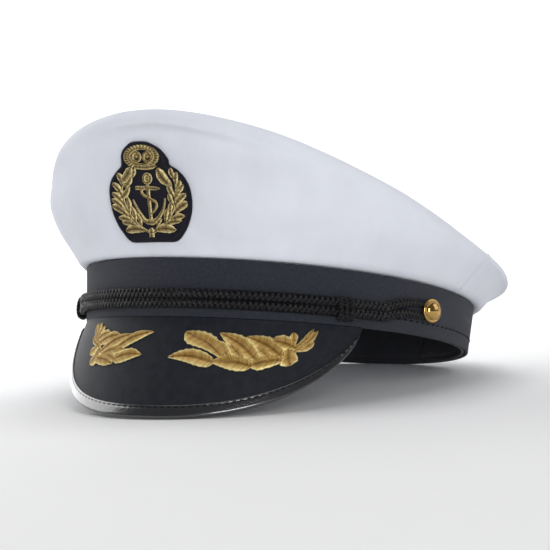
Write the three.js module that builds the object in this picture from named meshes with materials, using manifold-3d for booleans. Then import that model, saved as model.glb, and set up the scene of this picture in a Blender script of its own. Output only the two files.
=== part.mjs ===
// A captain's peaked cap: white cloth crown, dark band, embroidered badge and
// peak, and a chin cord held across the front by two gilt buttons.
//
// Millimetres. The cap is laid out in the frame of its rim: +Z up through the
// crown, the front toward -Y, the wearer's left toward +X. That frame is then
// tilted front up, so that the cap rests on its peak and on the back of its band.

import * as THREE from 'three';
import { mergeVertices } from 'three/addons/utils/BufferGeometryUtils.js';
import Module from 'manifold-3d';

// ---- driving dimensions ----------------------------------------------------

const GAP = 0.3; // between pieces that touch on the real cap

// rest: how the cap stands by itself
const REST_TILT = 11.46; // degrees, front up
const REST_LIFT = 22.7;
const REST_SHIFT = 1.55; // toward the back, so that the cap lies centred on the origin

// rim: the oval of the band's outer face at its lower edge
const RIM_HALF_LENGTH = 104;
const RIM_HALF_WIDTH = 87.2;
const RIM_SIDE_RISE = 1.4;
const RIM_BACK_DROP = 2.6;

// band and sweatband
const BAND_HEIGHT_FRONT = 26.5;
const BAND_HEIGHT_BACK = 20.9;
const BAND_FLARE = 1.8;
const BAND_WALL = 1.8;
const SWEATBAND_WALL = 1.2;
const SWEATBAND_HEIGHT = 18;

// crown
const CROWN_WALL = 1.6;
const CROWN_LEVELS_PER_SPAN = 2;
const CROWN_TOP_RINGS = [0.75, 0.4];

// peak, as a sheet that falls from the front of the band
const PEAK_TURN = 5; // degrees round from the middle of the front
const PEAK_HALF_ANGLE = 57.6;
const PEAK_HALF_ROOT = 92; // length of half its seam
const PEAK_END = 0.98;
const PEAK_REACH = 16;
const PEAK_DROP = 45;
const PEAK_BULGE = 0.5;
const PEAK_WALL = 2;
const PEAK_STATIONS = 24;
const PEAK_ROOT_INSET = 0.9;
const PEAK_ROOT_DROP = 0.9;
const BINDING_WALL = 0.8;
const BINDING_WIDTH = 5;
const BINDING_NOSE = 1.4;

// chin cord: two strands, one above the other
const STRAND_HALF_HEIGHT = 2.2;
const STRAND_HALF_DEPTH = 1.1;
const STRAND_LOW = 5.9;
const STRAND_HIGH = 10.4;
const STRAND_END_ANGLE = 68;
const KNOT_ANGLE = 55;
const KNOT_HALF_WIDTH = 4.2;
const KNOT_WALL = 0.6;
const KNOT_BULGE = 0.3;
const KNOT_CLEARANCE = 0.4;
const LOOP_RADIUS = 1.2;
const LOOP_BEND = 3.6;

// buttons
const BUTTON_ANGLE = 83.6;
const BUTTON_UP = 12;

// raised embroidery
const THREAD_EDGE = 0.5;
const THREAD_RIDGE = 1.1;
const PATCH_THICKNESS = 1.4;
const PATCH_FOOT = 33; // above the rim
const PANEL_RISE = 0.955; // height gained along each mm of the leaning front panel
const PATCH_SIDE = 1.4; // foot of the badge, to the wearer's left of the middle
const PATCH_TILT = 0.045; // the badge leans back to the middle as it rises
const EMBLEM_SCALE = 0.93;
const ROSETTE_SIDE = -1.8;
const ROSETTE_UP = 42.2;
const ROSETTE_HALF_WIDTH = 10;
const ROSETTE_HALF_HEIGHT = 6.6;

// Side section of the crown: each of its points at seven equal steps of angle,
// from the front round to the back, as how far it lies outside the rim oval and
// how high above the rim.
// belly: lower swell, wide: middle, tuck: hollow under the roll, roll: outer
// edge of the roll, crest: its top, inner: where the flat top begins.
const CROWN_SECTIONS = {
  // angle 0, then 30, 60, 90, 120, 150, 180
  belly: [[5.5, 40], [10.5, 38], [16.6, 42.5], [16.1, 39.2], [14, 32.1], [11.6, 25.8], [10.4, 23.8]],
  wide: [[11, 58], [18.6, 55], [22.4, 54], [18.7, 43.3], [17.3, 34], [16.8, 30], [16.2, 28.2]],
  tuck: [[16, 75], [20.6, 69], [22, 59.5], [17.8, 45.6], [17, 36.2], [17.2, 32], [16.8, 30.2]],
  roll: [[22.5, 85], [23, 77], [19.4, 63.8], [15.2, 47.8], [14.3, 38.5], [15, 34.3], [14.8, 32.6]],
  crest: [[19, 91], [19.8, 83], [15.5, 66.2], [11.7, 49.1], [10.3, 40], [11.5, 35.6], [11.5, 33.9]],
  inner: [[6, 91.5], [6.5, 84.5], [1.5, 67.5], [-2.3, 50.6], [-3.7, 41.5], [-2.5, 37.1], [-2.5, 35.4]],
};

// Outline of the badge patch: its reach to the wearer's left and right of its middle
// line at heights above its lower edge.
const PATCH_OUTLINE = [
  { up: 0, left: 10.8, right: 13 }, { up: 1.1, left: 13, right: 15.2 },
  { up: 3.8, left: 15.6, right: 17.8 }, { up: 8.3, left: 18.8, right: 20.6 },
  { up: 13.8, left: 21.2, right: 22 }, { up: 19.3, left: 22, right: 22 },
  { up: 24.8, left: 21.4, right: 21.2 }, { up: 29.4, left: 19.3, right: 19.2 },
  { up: 33, left: 16, right: 16 }, { up: 35.4, left: 12.4, right: 13.2 },
  { up: 37.6, left: 12, right: 12.8 }, { up: 40.3, left: 10.4, right: 12.6 },
  { up: 43, left: 8, right: 11.4 }, { up: 45.2, left: 4.6, right: 9 },
  { up: 46.8, left: 0.6, right: 6 },
];

// Leaves of one half of the badge's wreath, in the plane of the patch: where
// each leaf springs from the stem, where it ends, and its full width.
const WREATH_LEAVES = [
  { base: [1.6, 5], tip: [13.6, 4.6], width: 4.6 },
  { base: [8, 7.6], tip: [18.2, 13], width: 4 },
  { base: [11, 10.5], tip: [20.6, 20.2], width: 4 },
  { base: [13.6, 15], tip: [20.9, 26], width: 3.8 },
  { base: [15.2, 20], tip: [18.6, 31], width: 3.6 },
  { base: [15, 25], tip: [14.6, 35.4], width: 3.4 },
  { base: [7, 8.4], tip: [12, 19], width: 3.4 },
  { base: [10.6, 13], tip: [12.2, 24.6], width: 3.4 },
  { base: [13.4, 19], tip: [11, 29.4], width: 3.4 },
  { base: [14.2, 24.6], tip: [9.6, 33.6], width: 3.6 },
];
const WREATH_STEM = [[1, 4.6], [6.5, 7], [11.5, 12], [14.6, 19], [14.8, 27]];

// Leaves of the two sprigs on the peak: where each springs from the stem and where
// it ends, in mm from the cap's centre line and mm down from the band, and its
// full width. The sprigs are worked by hand, so they are no exact mirror of each other.
const SPRIG_LEAVES_LEFT = [
  { base: [27.5, 21.6], tip: [5.3, 19.4], width: 6.2 },
  { base: [31.5, 19.6], tip: [11.2, 7.2], width: 7.6 },
  { base: [33, 18.8], tip: [25.6, 10.8], width: 4 },
  { base: [44.5, 18.2], tip: [27.4, 7.2], width: 6.4 },
  { base: [55.5, 16], tip: [39.6, 8.6], width: 6 },
  { base: [45.5, 20.8], tip: [27, 21.4], width: 7 },
  { base: [57.5, 17.6], tip: [43.6, 21.8], width: 7 },
  { base: [61, 11.8], tip: [50.4, 9.4], width: 5.4 },
  { base: [60, 11.5], tip: [59, 4.8], width: 3.6 },
  { base: [61.5, 12.5], tip: [67.6, 2.2], width: 2.8 },
  { base: [62, 13.4], tip: [69.8, 3], width: 3 },
  { base: [61.5, 13.6], tip: [69.4, 8.8], width: 3.8 },
  { base: [60.4, 12], tip: [60.8, 20.4], width: 6.4 },
];
const SPRIG_STEM_LEFT = [[26, 21], [35, 20], [44, 19.3], [52, 17.5], [58, 14.5], [61, 12.5]];
const SPRIG_LEAVES_RIGHT = [
  { base: [26.5, 21.3], tip: [10, 18.4], width: 5.6 },
  { base: [27.5, 16.5], tip: [6.2, 7.2], width: 5 },
  { base: [33.5, 16.5], tip: [17.5, 8.3], width: 4.6 },
  { base: [40, 14.5], tip: [26, 8.8], width: 5 },
  { base: [42, 20.6], tip: [27.5, 22.6], width: 5.6 },
  { base: [39, 16.5], tip: [46, 23.2], width: 5 },
  { base: [44, 11], tip: [34.8, 7.8], width: 5 },
  { base: [44, 11], tip: [41.4, 4], width: 3 },
  { base: [44.5, 11.5], tip: [45.6, 2.2], width: 3 },
  { base: [44.5, 12], tip: [49.5, 2.6], width: 3.2 },
  { base: [43, 13.5], tip: [49.4, 9.6], width: 3 },
  { base: [42, 14], tip: [48.6, 17.6], width: 4 },
];
const SPRIG_STEM_RIGHT = [[23, 20.6], [31, 19.6], [37, 17.6], [41, 14.8], [44, 11.5]];

// ---- shapes of the rim, band, crown and peak ---------------------------------

const radians = THREE.MathUtils.degToRad;

// Height of the band's lower edge above the rim plane, at an angle in degrees.
function rimHeight(angle) {
  const side = Math.sin(radians(angle)) ** 2;
  const back = ((1 - Math.cos(radians(angle))) / 2) ** 2;
  return RIM_SIDE_RISE * side - RIM_BACK_DROP * back;
}

// Height of the band's upper edge above the rim plane.
function bandTop(angle) {
  const back = (1 - Math.cos(radians(angle))) / 2;
  return rimHeight(angle) + THREE.MathUtils.lerp(BAND_HEIGHT_FRONT, BAND_HEIGHT_BACK, back);
}

// How far the band's outer face lies outside the rim oval at a height.
function bandOut(angle, up) {
  return (BAND_FLARE * (up - rimHeight(angle))) / (bandTop(angle) - rimHeight(angle));
}

// Point at an angle round from the front, a distance outside the rim oval, and a height.
function rimPoint(angle, out, up) {
  const a = radians(angle);
  return new THREE.Vector3(
    (RIM_HALF_WIDTH + out) * Math.sin(a),
    -(RIM_HALF_LENGTH + out) * Math.cos(a),
    up,
  );
}

// Outward normal of the rim oval at an angle.
function rimNormal(angle) {
  const a = radians(angle);
  return new THREE.Vector3(Math.sin(a) / RIM_HALF_WIDTH, -Math.cos(a) / RIM_HALF_LENGTH, 0).normalize();
}

// Smooth curve through four values, at a fraction between the middle two.
function blend(before, from, to, after, f) {
  const slopeFrom = (to - before) / 2;
  const slopeTo = (after - from) / 2;
  const bend = from - to;
  const square = -3 * bend - 2 * slopeFrom - slopeTo;
  const cube = 2 * bend + slopeFrom + slopeTo;
  return from + f * (slopeFrom + f * (square + f * cube));
}

// One named point of the crown's side section at any angle; left and right are alike.
function crownPoint(name, angle) {
  const rows = CROWN_SECTIONS[name];
  const last = rows.length - 1;
  const place = Math.abs(angle) / (180 / last);
  const i = Math.min(Math.floor(place), last - 1);
  const row = (n) => rows[n < 0 ? -n : n > last ? 2 * last - n : n];
  return [0, 1].map((k) => blend(row(i - 1)[k], row(i)[k], row(i + 1)[k], row(i + 2)[k], place - i));
}

// Side section of the crown at an angle, as a curve of (out, up).
function crownSection(angle) {
  const points = ['belly', 'wide', 'tuck', 'roll', 'crest', 'inner'].map((name) => crownPoint(name, angle));
  points.unshift([BAND_FLARE, bandTop(angle) + GAP]);
  return new THREE.CatmullRomCurve3(points.map(([out, up]) => new THREE.Vector3(out, up, 0)));
}

// The flat top sags like a stretched skin from its edge to its middle.
function crownTopPoint(angle, share) {
  const edge = crownPoint('inner', angle);
  const front = crownPoint('inner', 0)[1];
  const back = crownPoint('inner', 180)[1];
  const middle = (front + back + 4 * crownPoint('inner', 90)[1] + 4 * crownPoint('inner', 45)[1]) / 10;
  const lean = ((front - back) / 2) * Math.cos(radians(angle));
  const point = rimPoint(angle, edge[0], 0).multiplyScalar(share);
  point.z = middle + lean * share + (edge[1] - middle - lean) * share ** 2;
  return point;
}

// Point of the peak's middle surface: along is -1..1 across the peak, down is 0 at
// the band and 1 at the free edge.
function peakPoint(along, down) {
  const angle = PEAK_TURN + along * PEAK_HALF_ANGLE;
  const forward = radians(PEAK_TURN);
  const root = rimPoint(angle, -PEAK_ROOT_INSET, rimHeight(angle) - PEAK_ROOT_DROP);
  const reach = down * PEAK_REACH * (1 - along ** 2) ** 0.4;
  const drop = PEAK_DROP * (1 - Math.abs(along) ** 2.4) ** 0.64;
  const bulge = PEAK_BULGE * 4 * down * (1 - down) * (drop / PEAK_DROP);
  return root
    .add(new THREE.Vector3(reach * Math.sin(forward), -reach * Math.cos(forward), -drop * down))
    .addScaledVector(rimNormal(angle), bulge);
}

// Length of the peak from the band to its free edge.
function peakDepth(along) {
  return peakPoint(along, 1).distanceTo(peakPoint(along, 0));
}

// Unit normal of the peak, pointing up and forward.
function peakNormal(along, down) {
  const step = 0.002;
  const across = peakPoint(along + step, down).sub(peakPoint(along - step, down));
  const fall = peakPoint(along, down + step).sub(peakPoint(along, down - step));
  return fall.cross(across).normalize();
}

// ---- solids from rings and grids of points ------------------------------------

// A closed body from points and triangles, turned so that its faces point out.
function body(points, triangles) {
  let volume = 0;
  for (const [a, b, c] of triangles) {
    volume += points[a].dot(new THREE.Vector3().crossVectors(points[b], points[c]));
  }
  const faces = volume < 0 ? triangles.map(([a, b, c]) => [a, c, b]) : triangles;
  const geometry = new THREE.BufferGeometry();
  geometry.setAttribute('position', new THREE.Float32BufferAttribute(points.flatMap((p) => p.toArray()), 3));
  geometry.setIndex(faces.flat());
  return geometry;
}

// Triangles that join two rows of point numbers, side by side.
function strip(rowA, rowB, closed) {
  const triangles = [];
  const count = closed ? rowA.length : rowA.length - 1;
  for (let i = 0; i < count; i += 1) {
    const j = (i + 1) % rowA.length;
    triangles.push([rowA[i], rowB[i], rowB[j]], [rowA[i], rowB[j], rowA[j]]);
  }
  return triangles;
}

// Sections, each a ring of points, joined in turn; the last joins the first where
// the body runs all the way round, and otherwise both ends are filled.
function loft(sections, endless = false) {
  const size = sections[0].length;
  const points = sections.flat();
  const rows = sections.map((_, k) => Array.from({ length: size }, (_unused, i) => k * size + i));
  const triangles = [];
  const joints = endless ? rows.length : rows.length - 1;
  for (let k = 0; k < joints; k += 1) {
    triangles.push(...strip(rows[k], rows[(k + 1) % rows.length], true));
  }
  if (!endless) {
    const last = rows[rows.length - 1];
    for (let i = 1; i < size - 1; i += 1) {
      triangles.push([rows[0][0], rows[0][i], rows[0][i + 1]], [last[0], last[i + 1], last[i]]);
    }
  }
  return body(points, triangles);
}

// A plate between two grids of points of the same size, closed along its four edges.
function plate(upper, lower) {
  const columns = upper[0].length;
  const points = [...upper.flat(), ...lower.flat()];
  const shift = upper.length * columns;
  const row = (k, offset) => Array.from({ length: columns }, (_, i) => offset + k * columns + i);
  const column = (i, offset) => Array.from({ length: upper.length }, (_, k) => offset + k * columns + i);
  const triangles = [];
  for (let k = 0; k < upper.length - 1; k += 1) {
    triangles.push(...strip(row(k, 0), row(k + 1, 0), false));
    triangles.push(...strip(row(k + 1, shift), row(k, shift), false));
  }
  const lastRow = upper.length - 1;
  const lastColumn = columns - 1;
  triangles.push(...strip(row(0, shift), row(0, 0), false));
  triangles.push(...strip(row(lastRow, 0), row(lastRow, shift), false));
  triangles.push(...strip(column(0, 0), column(0, shift), false));
  triangles.push(...strip(column(lastColumn, shift), column(lastColumn, 0), false));
  return body(points, triangles);
}

// ---- joining and cutting --------------------------------------------------------

const wasm = await Module();
wasm.setup();

function toSolid(geometry) {
  const bare = geometry.clone();
  bare.deleteAttribute('normal');
  bare.deleteAttribute('uv');
  const merged = mergeVertices(bare, 1e-4);
  return new wasm.Manifold(new wasm.Mesh({
    numProp: 3,
    vertProperties: new Float32Array(merged.attributes.position.array),
    triVerts: new Uint32Array(merged.index.array),
  }));
}

function toGeometry(solid) {
  const mesh = solid.getMesh();
  const geometry = new THREE.BufferGeometry();
  geometry.setAttribute('position', new THREE.BufferAttribute(new Float32Array(mesh.vertProperties), 3));
  geometry.setIndex(Array.from(mesh.triVerts));
  return geometry;
}

function join(geometries) {
  return toGeometry(geometries.map(toSolid).reduce((all, next) => all.add(next)));
}

// Bends a flat piece onto a curved surface: place(x, y, height) gives each new point.
function bendOnto(geometry, place) {
  const { array } = geometry.attributes.position;
  const points = [];
  for (let i = 0; i < array.length; i += 3) points.push(place(array[i], array[i + 1], array[i + 2]));
  const corners = Array.from(geometry.index.array);
  const triangles = [];
  for (let i = 0; i < corners.length; i += 3) triangles.push(corners.slice(i, i + 3));
  return body(points, triangles);
}

// ---- the frame in which the cap rests ---------------------------------------------

const rest = new THREE.Group();
rest.rotation.x = -radians(REST_TILT);
rest.position.set(0, REST_SHIFT, REST_LIFT);
rest.updateMatrix();

// Flattens a piece, given in the rim's frame, where it stands on the surface.
function flattenAtRest(geometry) {
  const below = new THREE.BoxGeometry(400, 400, 40);
  below.translate(0, 0, -20);
  below.applyMatrix4(rest.matrix.clone().invert());
  return toGeometry(toSolid(geometry).subtract(toSolid(below)));
}

// ---- sub-parts -----------------------------------------------------------------------

function angles(count) {
  return Array.from({ length: count }, (_, i) => -180 + (360 * i) / count);
}

function crownGeometry() {
  const around = angles(48);
  const spans = 6 * CROWN_LEVELS_PER_SPAN;
  const rings = [];
  for (let k = 0; k <= spans; k += 1) {
    rings.push(around.map((angle) => {
      const at = crownSection(angle).getPoint(k / spans);
      return rimPoint(angle, at.x, at.y);
    }));
  }
  for (const share of CROWN_TOP_RINGS) {
    rings.push(around.map((angle) => crownTopPoint(angle, share)));
  }
  const size = around.length;
  const outer = rings.flat();
  outer.push(crownTopPoint(0, 0));
  const row = (k, offset) => Array.from({ length: size }, (_, i) => offset + k * size + i);
  const skin = [];
  for (let k = 0; k < rings.length - 1; k += 1) {
    skin.push(...strip(row(k, 0), row(k + 1, 0), true));
  }
  const apex = outer.length - 1;
  const lastRow = row(rings.length - 1, 0);
  lastRow.forEach((point, i) => skin.push([point, apex, lastRow[(i + 1) % size]]));
  const sheet = new THREE.BufferGeometry();
  sheet.setAttribute('position', new THREE.Float32BufferAttribute(outer.flatMap((p) => p.toArray()), 3));
  sheet.setIndex(skin.flat());
  sheet.computeVertexNormals();
  const normal = new THREE.Vector3();
  const side = Math.sign(normal.fromBufferAttribute(sheet.attributes.normal, apex).z);
  const inner = outer.map((point, i) => {
    normal.fromBufferAttribute(sheet.attributes.normal, i);
    return point.clone().addScaledVector(normal, -CROWN_WALL * side);
  });
  const shift = outer.length;
  const lining = skin.map(([a, b, c]) => [a + shift, c + shift, b + shift]);
  const hem = strip(row(0, shift), row(0, 0), true);
  return body([...outer, ...inner], [...skin, ...lining, ...hem]);
}

function bandGeometry() {
  const sections = angles(64).map((angle) => {
    const low = rimHeight(angle);
    const high = bandTop(angle);
    return [
      rimPoint(angle, 0, low),
      rimPoint(angle, BAND_FLARE, high),
      rimPoint(angle, BAND_FLARE - BAND_WALL, high),
      rimPoint(angle, -BAND_WALL, low),
    ];
  });
  return flattenAtRest(loft(sections, true));
}

function sweatbandGeometry() {
  const sections = angles(48).map((angle) => {
    const low = rimHeight(angle) + GAP;
    const high = low + SWEATBAND_HEIGHT;
    const face = (up) => bandOut(angle, up) - BAND_WALL - GAP;
    return [
      rimPoint(angle, face(low), low),
      rimPoint(angle, face(high), high),
      rimPoint(angle, face(high) - SWEATBAND_WALL, high),
      rimPoint(angle, face(low) - SWEATBAND_WALL, low),
    ];
  });
  return loft(sections, true);
}

// Stations across the peak, closer together toward its ends.
function peakStations() {
  return Array.from({ length: PEAK_STATIONS + 1 }, (_, i) => (
    PEAK_END * Math.sin((Math.PI / 2) * ((2 * i) / PEAK_STATIONS - 1))
  ));
}

function peakGeometry() {
  const downs = [0, 0.15, 0.35, 0.55, 0.75, 1];
  const face = (side) => peakStations().map((along) => downs.map((down) => (
    peakPoint(along, down).addScaledVector(peakNormal(along, down), (side * PEAK_WALL) / 2)
  )));
  return plate(face(1), face(-1));
}

function peakBindingGeometry() {
  const clear = PEAK_WALL / 2 + GAP;
  const cover = clear + BINDING_WALL;
  // outer and inner face of the fold, from the upper side round the edge to the lower:
  // share of the width back from the edge, height, and how far past the edge
  const fold = [
    { back: 1, outer: [cover, 0], inner: [clear, 0] },
    { back: 0.5, outer: [cover, 0], inner: [clear, 0] },
    { back: 0, outer: [cover, 0], inner: [clear, 0] },
    { back: 0, outer: [cover * 0.7, BINDING_NOSE * 0.8], inner: [clear * 0.8, GAP] },
    { back: 0, outer: [0, BINDING_NOSE], inner: [0, GAP * 1.2] },
  ];
  const mirrored = fold.slice(0, -1).reverse().map(({ back, outer, inner }) => (
    { back, outer: [-outer[0], outer[1]], inner: [-inner[0], inner[1]] }
  ));
  const rows = [...fold, ...mirrored];
  const grid = (face) => peakStations().map((along) => {
    const depth = peakDepth(along);
    const width = Math.min(BINDING_WIDTH, depth - 2.5);
    const past = peakPoint(along, 1).sub(peakPoint(along, 1 - width / depth)).normalize();
    return rows.map((row) => {
      const down = 1 - (row.back * width) / depth;
      return peakPoint(along, down)
        .addScaledVector(peakNormal(along, down), row[face][0])
        .addScaledVector(past, row[face][1]);
    });
  });
  return flattenAtRest(plate(grid('outer'), grid('inner')));
}

// The strands stand a little off the band where a slide knot passes behind them.
function strandLift(angle) {
  const near = (Math.abs(angle) - KNOT_ANGLE) / 6;
  return GAP + (KNOT_WALL + KNOT_CLEARANCE) * Math.exp(-(near ** 2));
}

function strandCentre(angle, height) {
  const up = rimHeight(angle) + height;
  return { out: bandOut(angle, up) + strandLift(angle) + STRAND_HALF_DEPTH, up };
}

// One strand, flattened against the band.
function strandGeometry(height) {
  const sections = [];
  for (let k = -15; k <= 15; k += 1) {
    const angle = (k / 15) * STRAND_END_ANGLE;
    const { out, up } = strandCentre(angle, height);
    sections.push(Array.from({ length: 10 }, (_, i) => {
      const a = (Math.PI * i) / 5;
      return rimPoint(angle, out + STRAND_HALF_DEPTH * Math.cos(a), up + STRAND_HALF_HEIGHT * Math.sin(a));
    }));
  }
  return loft(sections);
}

function tubeGeometry(path, radius, steps, sides) {
  const round = new THREE.Shape().absarc(0, 0, radius, 0, 2 * Math.PI);
  const options = { steps, extrudePath: path, bevelEnabled: false, curveSegments: sides / 2 };
  return new THREE.ExtrudeGeometry(round, options);
}

// A slide knot, in its own frame: X along the strands, Y up, Z out from the band.
function knotGeometry() {
  const pitch = (STRAND_HIGH - STRAND_LOW) / 2;
  const turn = [];
  for (let i = 0; i < 16; i += 1) {
    const a = (2 * Math.PI * (i + 0.5)) / 16;
    turn.push({ y: Math.cos(a), z: Math.sin(a), centre: Math.sign(Math.cos(a)) * pitch });
  }
  // share of the half width, and of the wall
  const profile = [
    { x: -1, wall: 0 }, { x: -1, wall: 0.7 }, { x: -0.5, wall: 1 }, { x: 0, wall: 0.75 },
    { x: 0.5, wall: 1 }, { x: 1, wall: 0.7 }, { x: 1, wall: 0 },
  ];
  const sections = turn.map(({ y, z, centre }) => profile.map(({ x, wall }) => {
    const thick = wall * (KNOT_WALL + (z > 0 ? KNOT_BULGE * z : 0));
    const tall = STRAND_HALF_HEIGHT + KNOT_CLEARANCE + thick;
    const deep = STRAND_HALF_DEPTH + KNOT_CLEARANCE + thick;
    return new THREE.Vector3(x * KNOT_HALF_WIDTH, centre + y * tall, z * deep);
  }));
  return loft(sections, true);
}

// The cord's end: the upper strand turns round the button's shank and comes back
// as the lower one.
function loopGeometry(side) {
  const middle = rimHeight(BUTTON_ANGLE) + BUTTON_UP;
  const degree = radians(1) * Math.hypot(RIM_HALF_WIDTH * Math.cos(radians(BUTTON_ANGLE)), RIM_HALF_LENGTH);
  const at = (angle, up) => (
    rimPoint(side * angle, bandOut(angle, up) + GAP + LOOP_RADIUS, up)
  );
  const start = STRAND_END_ANGLE + (2 * GAP) / degree;
  const route = [at(start, rimHeight(start) + STRAND_HIGH), at(start + 4, middle + LOOP_BEND - 0.6)];
  for (let turn = 90; turn >= -90; turn -= 30) {
    const a = radians(turn);
    route.push(at(BUTTON_ANGLE + (LOOP_BEND * Math.cos(a)) / degree, middle + LOOP_BEND * Math.sin(a)));
  }
  route.push(at(start + 4, middle - LOOP_BEND + 0.2), at(start, rimHeight(start) + STRAND_LOW));
  return tubeGeometry(new THREE.CatmullRomCurve3(route), LOOP_RADIUS, 22, 8);
}

// A domed button with a rolled rim, on its shank; Z is out from the band.
function buttonGeometry() {
  const foot = GAP;
  const back = 2 * LOOP_RADIUS + 2 * GAP;
  // radius, and height above the button's back
  const face = [
    [4.6, 0], [5.4, 0.4], [5.6, 0.9], [5.3, 1.4], [4.7, 1.5],
    [4.4, 1.7], [3.6, 2.5], [2.5, 3.1], [1.2, 3.4], [0, 3.5],
  ];
  const profile = [[0, foot], [1.4, foot], [1.4, back], ...face.map(([r, z]) => [r, back + z])];
  const lathe = new THREE.LatheGeometry(profile.map(([r, z]) => new THREE.Vector2(r, z)), 14);
  return lathe.rotateX(Math.PI / 2);
}

// ---- embroidery -----------------------------------------------------------------------

// A padded leaf, flat on the XY plane, from its base to its tip with a raised midrib.
function leafGeometry({ base, tip, width }) {
  const from = new THREE.Vector2(...base);
  const to = new THREE.Vector2(...tip);
  const axis = to.clone().sub(from);
  const across = new THREE.Vector2(-axis.y, axis.x).normalize();
  const stations = Math.max(2, Math.round(axis.length() / 6));
  const sections = [];
  for (let k = 0; k <= stations; k += 1) {
    const share = k / stations;
    const half = (width / 2) * (0.12 + 0.88 * Math.sin(Math.PI * share ** 0.8) ** 0.8);
    const middle = from.clone().addScaledVector(axis, share);
    const at = (side, height) => {
      const point = middle.clone().addScaledVector(across, side * half);
      return new THREE.Vector3(point.x, point.y, height);
    };
    sections.push([at(-1, 0), at(1, 0), at(1, THREAD_EDGE), at(0, THREAD_RIDGE), at(-1, THREAD_EDGE)]);
  }
  return loft(sections);
}

// A stem of thread along flat points, joined to the leaves that spring from it.
function stemGeometry(points, width) {
  const curve = new THREE.SplineCurve(points.map(([x, y]) => new THREE.Vector2(x, y)));
  const steps = Math.ceil(curve.getLength() / 4);
  const sections = [];
  for (let k = 0; k <= steps; k += 1) {
    const middle = curve.getPointAt(k / steps);
    const ahead = curve.getTangentAt(k / steps);
    const at = (side, height) => {
      const reach = (side * width) / 2;
      return new THREE.Vector3(middle.x - ahead.y * reach, middle.y + ahead.x * reach, height);
    };
    sections.push([at(-1, 0), at(1, 0), at(1, THREAD_EDGE * 1.3), at(-1, THREAD_EDGE * 1.3)]);
  }
  return loft(sections);
}

// Place on the face of the peak: mm from the centre line, mm down from the band, mm off it.
function onPeak(x, y, height) {
  const along = x / PEAK_HALF_ROOT;
  const down = y / peakDepth(along);
  return peakPoint(along, down).addScaledVector(peakNormal(along, down), PEAK_WALL / 2 + GAP + height);
}

function sprigGeometry(side) {
  const leaves = side > 0 ? SPRIG_LEAVES_LEFT : SPRIG_LEAVES_RIGHT;
  const stem = side > 0 ? SPRIG_STEM_LEFT : SPRIG_STEM_RIGHT;
  const pieces = [...leaves.map(leafGeometry), stemGeometry(stem, 1.8)];
  return bendOnto(join(pieces), (x, y, height) => onPeak(side * x, y, height));
}

// Place on the front panel of the crown: mm to the side, mm up the panel, mm off it.
function onCrown(x, y, height) {
  const at = (side, up) => {
    const angle = THREE.MathUtils.radToDeg(Math.asin(side / (RIM_HALF_WIDTH + 10)));
    const section = crownSection(angle);
    const target = PATCH_FOOT + up * PANEL_RISE;
    let low = 0;
    let high = 4 / 6;
    for (let i = 0; i < 30; i += 1) {
      const half = (low + high) / 2;
      if (section.getPoint(half).y < target) low = half;
      else high = half;
    }
    const found = section.getPoint(low);
    return rimPoint(angle, found.x, found.y);
  };
  const step = 0.5;
  const across = at(x + step, y).sub(at(x - step, y));
  const rise = at(x, y + step).sub(at(x, y - step));
  const normal = across.cross(rise).normalize();
  return at(x, y).addScaledVector(normal, height);
}

// How far the badge's middle line lies to the side at a height up the badge.
function badgeSide(up) {
  return PATCH_SIDE - PATCH_TILT * up;
}

function patchGeometry() {
  const columns = 8;
  const face = (height) => PATCH_OUTLINE.map(({ up, left, right }) => (
    Array.from({ length: columns + 1 }, (_, i) => {
      const side = badgeSide(up) - right + ((left + right) * i) / columns;
      return onCrown(side, up, height);
    })
  ));
  return plate(face(GAP + PATCH_THICKNESS), face(GAP));
}

function onPatch(x, y, height) {
  const up = y * EMBLEM_SCALE;
  return onCrown(badgeSide(up) + x * EMBLEM_SCALE, up, 2 * GAP + PATCH_THICKNESS + height);
}

function wreathGeometry() {
  const branch = (side) => {
    const turn = ([x, y]) => [side * x, y];
    const leaves = WREATH_LEAVES.map(({ base, tip, width }) => (
      leafGeometry({ base: turn(base), tip: turn(tip), width })
    ));
    return [...leaves, stemGeometry(WREATH_STEM.map(turn), 1.2)];
  };
  const tie = stemGeometry([[0, 2.4], [0, 7.2]], 3);
  return bendOnto(join([...branch(-1), ...branch(1), tie]), onPatch);
}

function ringGeometry(x, y, outer, inner, height, count) {
  const sections = Array.from({ length: count }, (_, i) => {
    const a = (2 * Math.PI * i) / count;
    const at = (radius, up) => new THREE.Vector3(x + radius * Math.cos(a), y + radius * Math.sin(a), up);
    return [at(inner, 0), at(outer, 0), at(outer, height), at(inner, height)];
  });
  return loft(sections, true);
}

function anchorGeometry() {
  const arc = (side) => [0, 0.25, 0.5, 0.75, 1].map((t) => [side * 8.6 * t, 9.6 + 10.6 * t ** 2.2]);
  const pieces = [
    stemGeometry([[0, 9], [0, 18], [0, 28.4]], 1.8),
    stemGeometry([[-5.6, 25.8], [0, 25.8], [5.6, 25.8]], 1.6),
    stemGeometry(arc(1), 2.2),
    stemGeometry(arc(-1), 2.2),
    ringGeometry(0, 30.2, 2.4, 1.1, THREAD_EDGE * 1.6, 12),
  ];
  return bendOnto(join(pieces), onPatch);
}

function rosetteGeometry() {
  const lobes = 14;
  const rim = Array.from({ length: lobes * 2 }, (_, i) => {
    const a = (Math.PI * i) / lobes;
    const radius = i % 2 ? 0.9 : 1;
    return { x: ROSETTE_HALF_WIDTH * radius * Math.cos(a), y: ROSETTE_HALF_HEIGHT * radius * Math.sin(a) };
  });
  const ring = (share, height) => (
    rim.map(({ x, y }) => new THREE.Vector3(ROSETTE_SIDE + x * share, ROSETTE_UP + y * share, height))
  );
  const rings = [ring(1, 0), ring(1, THREAD_EDGE), ring(0.72, THREAD_RIDGE), ring(0.4, THREAD_EDGE * 1.4)];
  return bendOnto(loft(rings), onPatch);
}

// ---- materials and assembly ---------------------------------------------------------------

function material(color, roughness, metalness = 0) {
  return new THREE.MeshStandardMaterial({ color, roughness, metalness });
}

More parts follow.
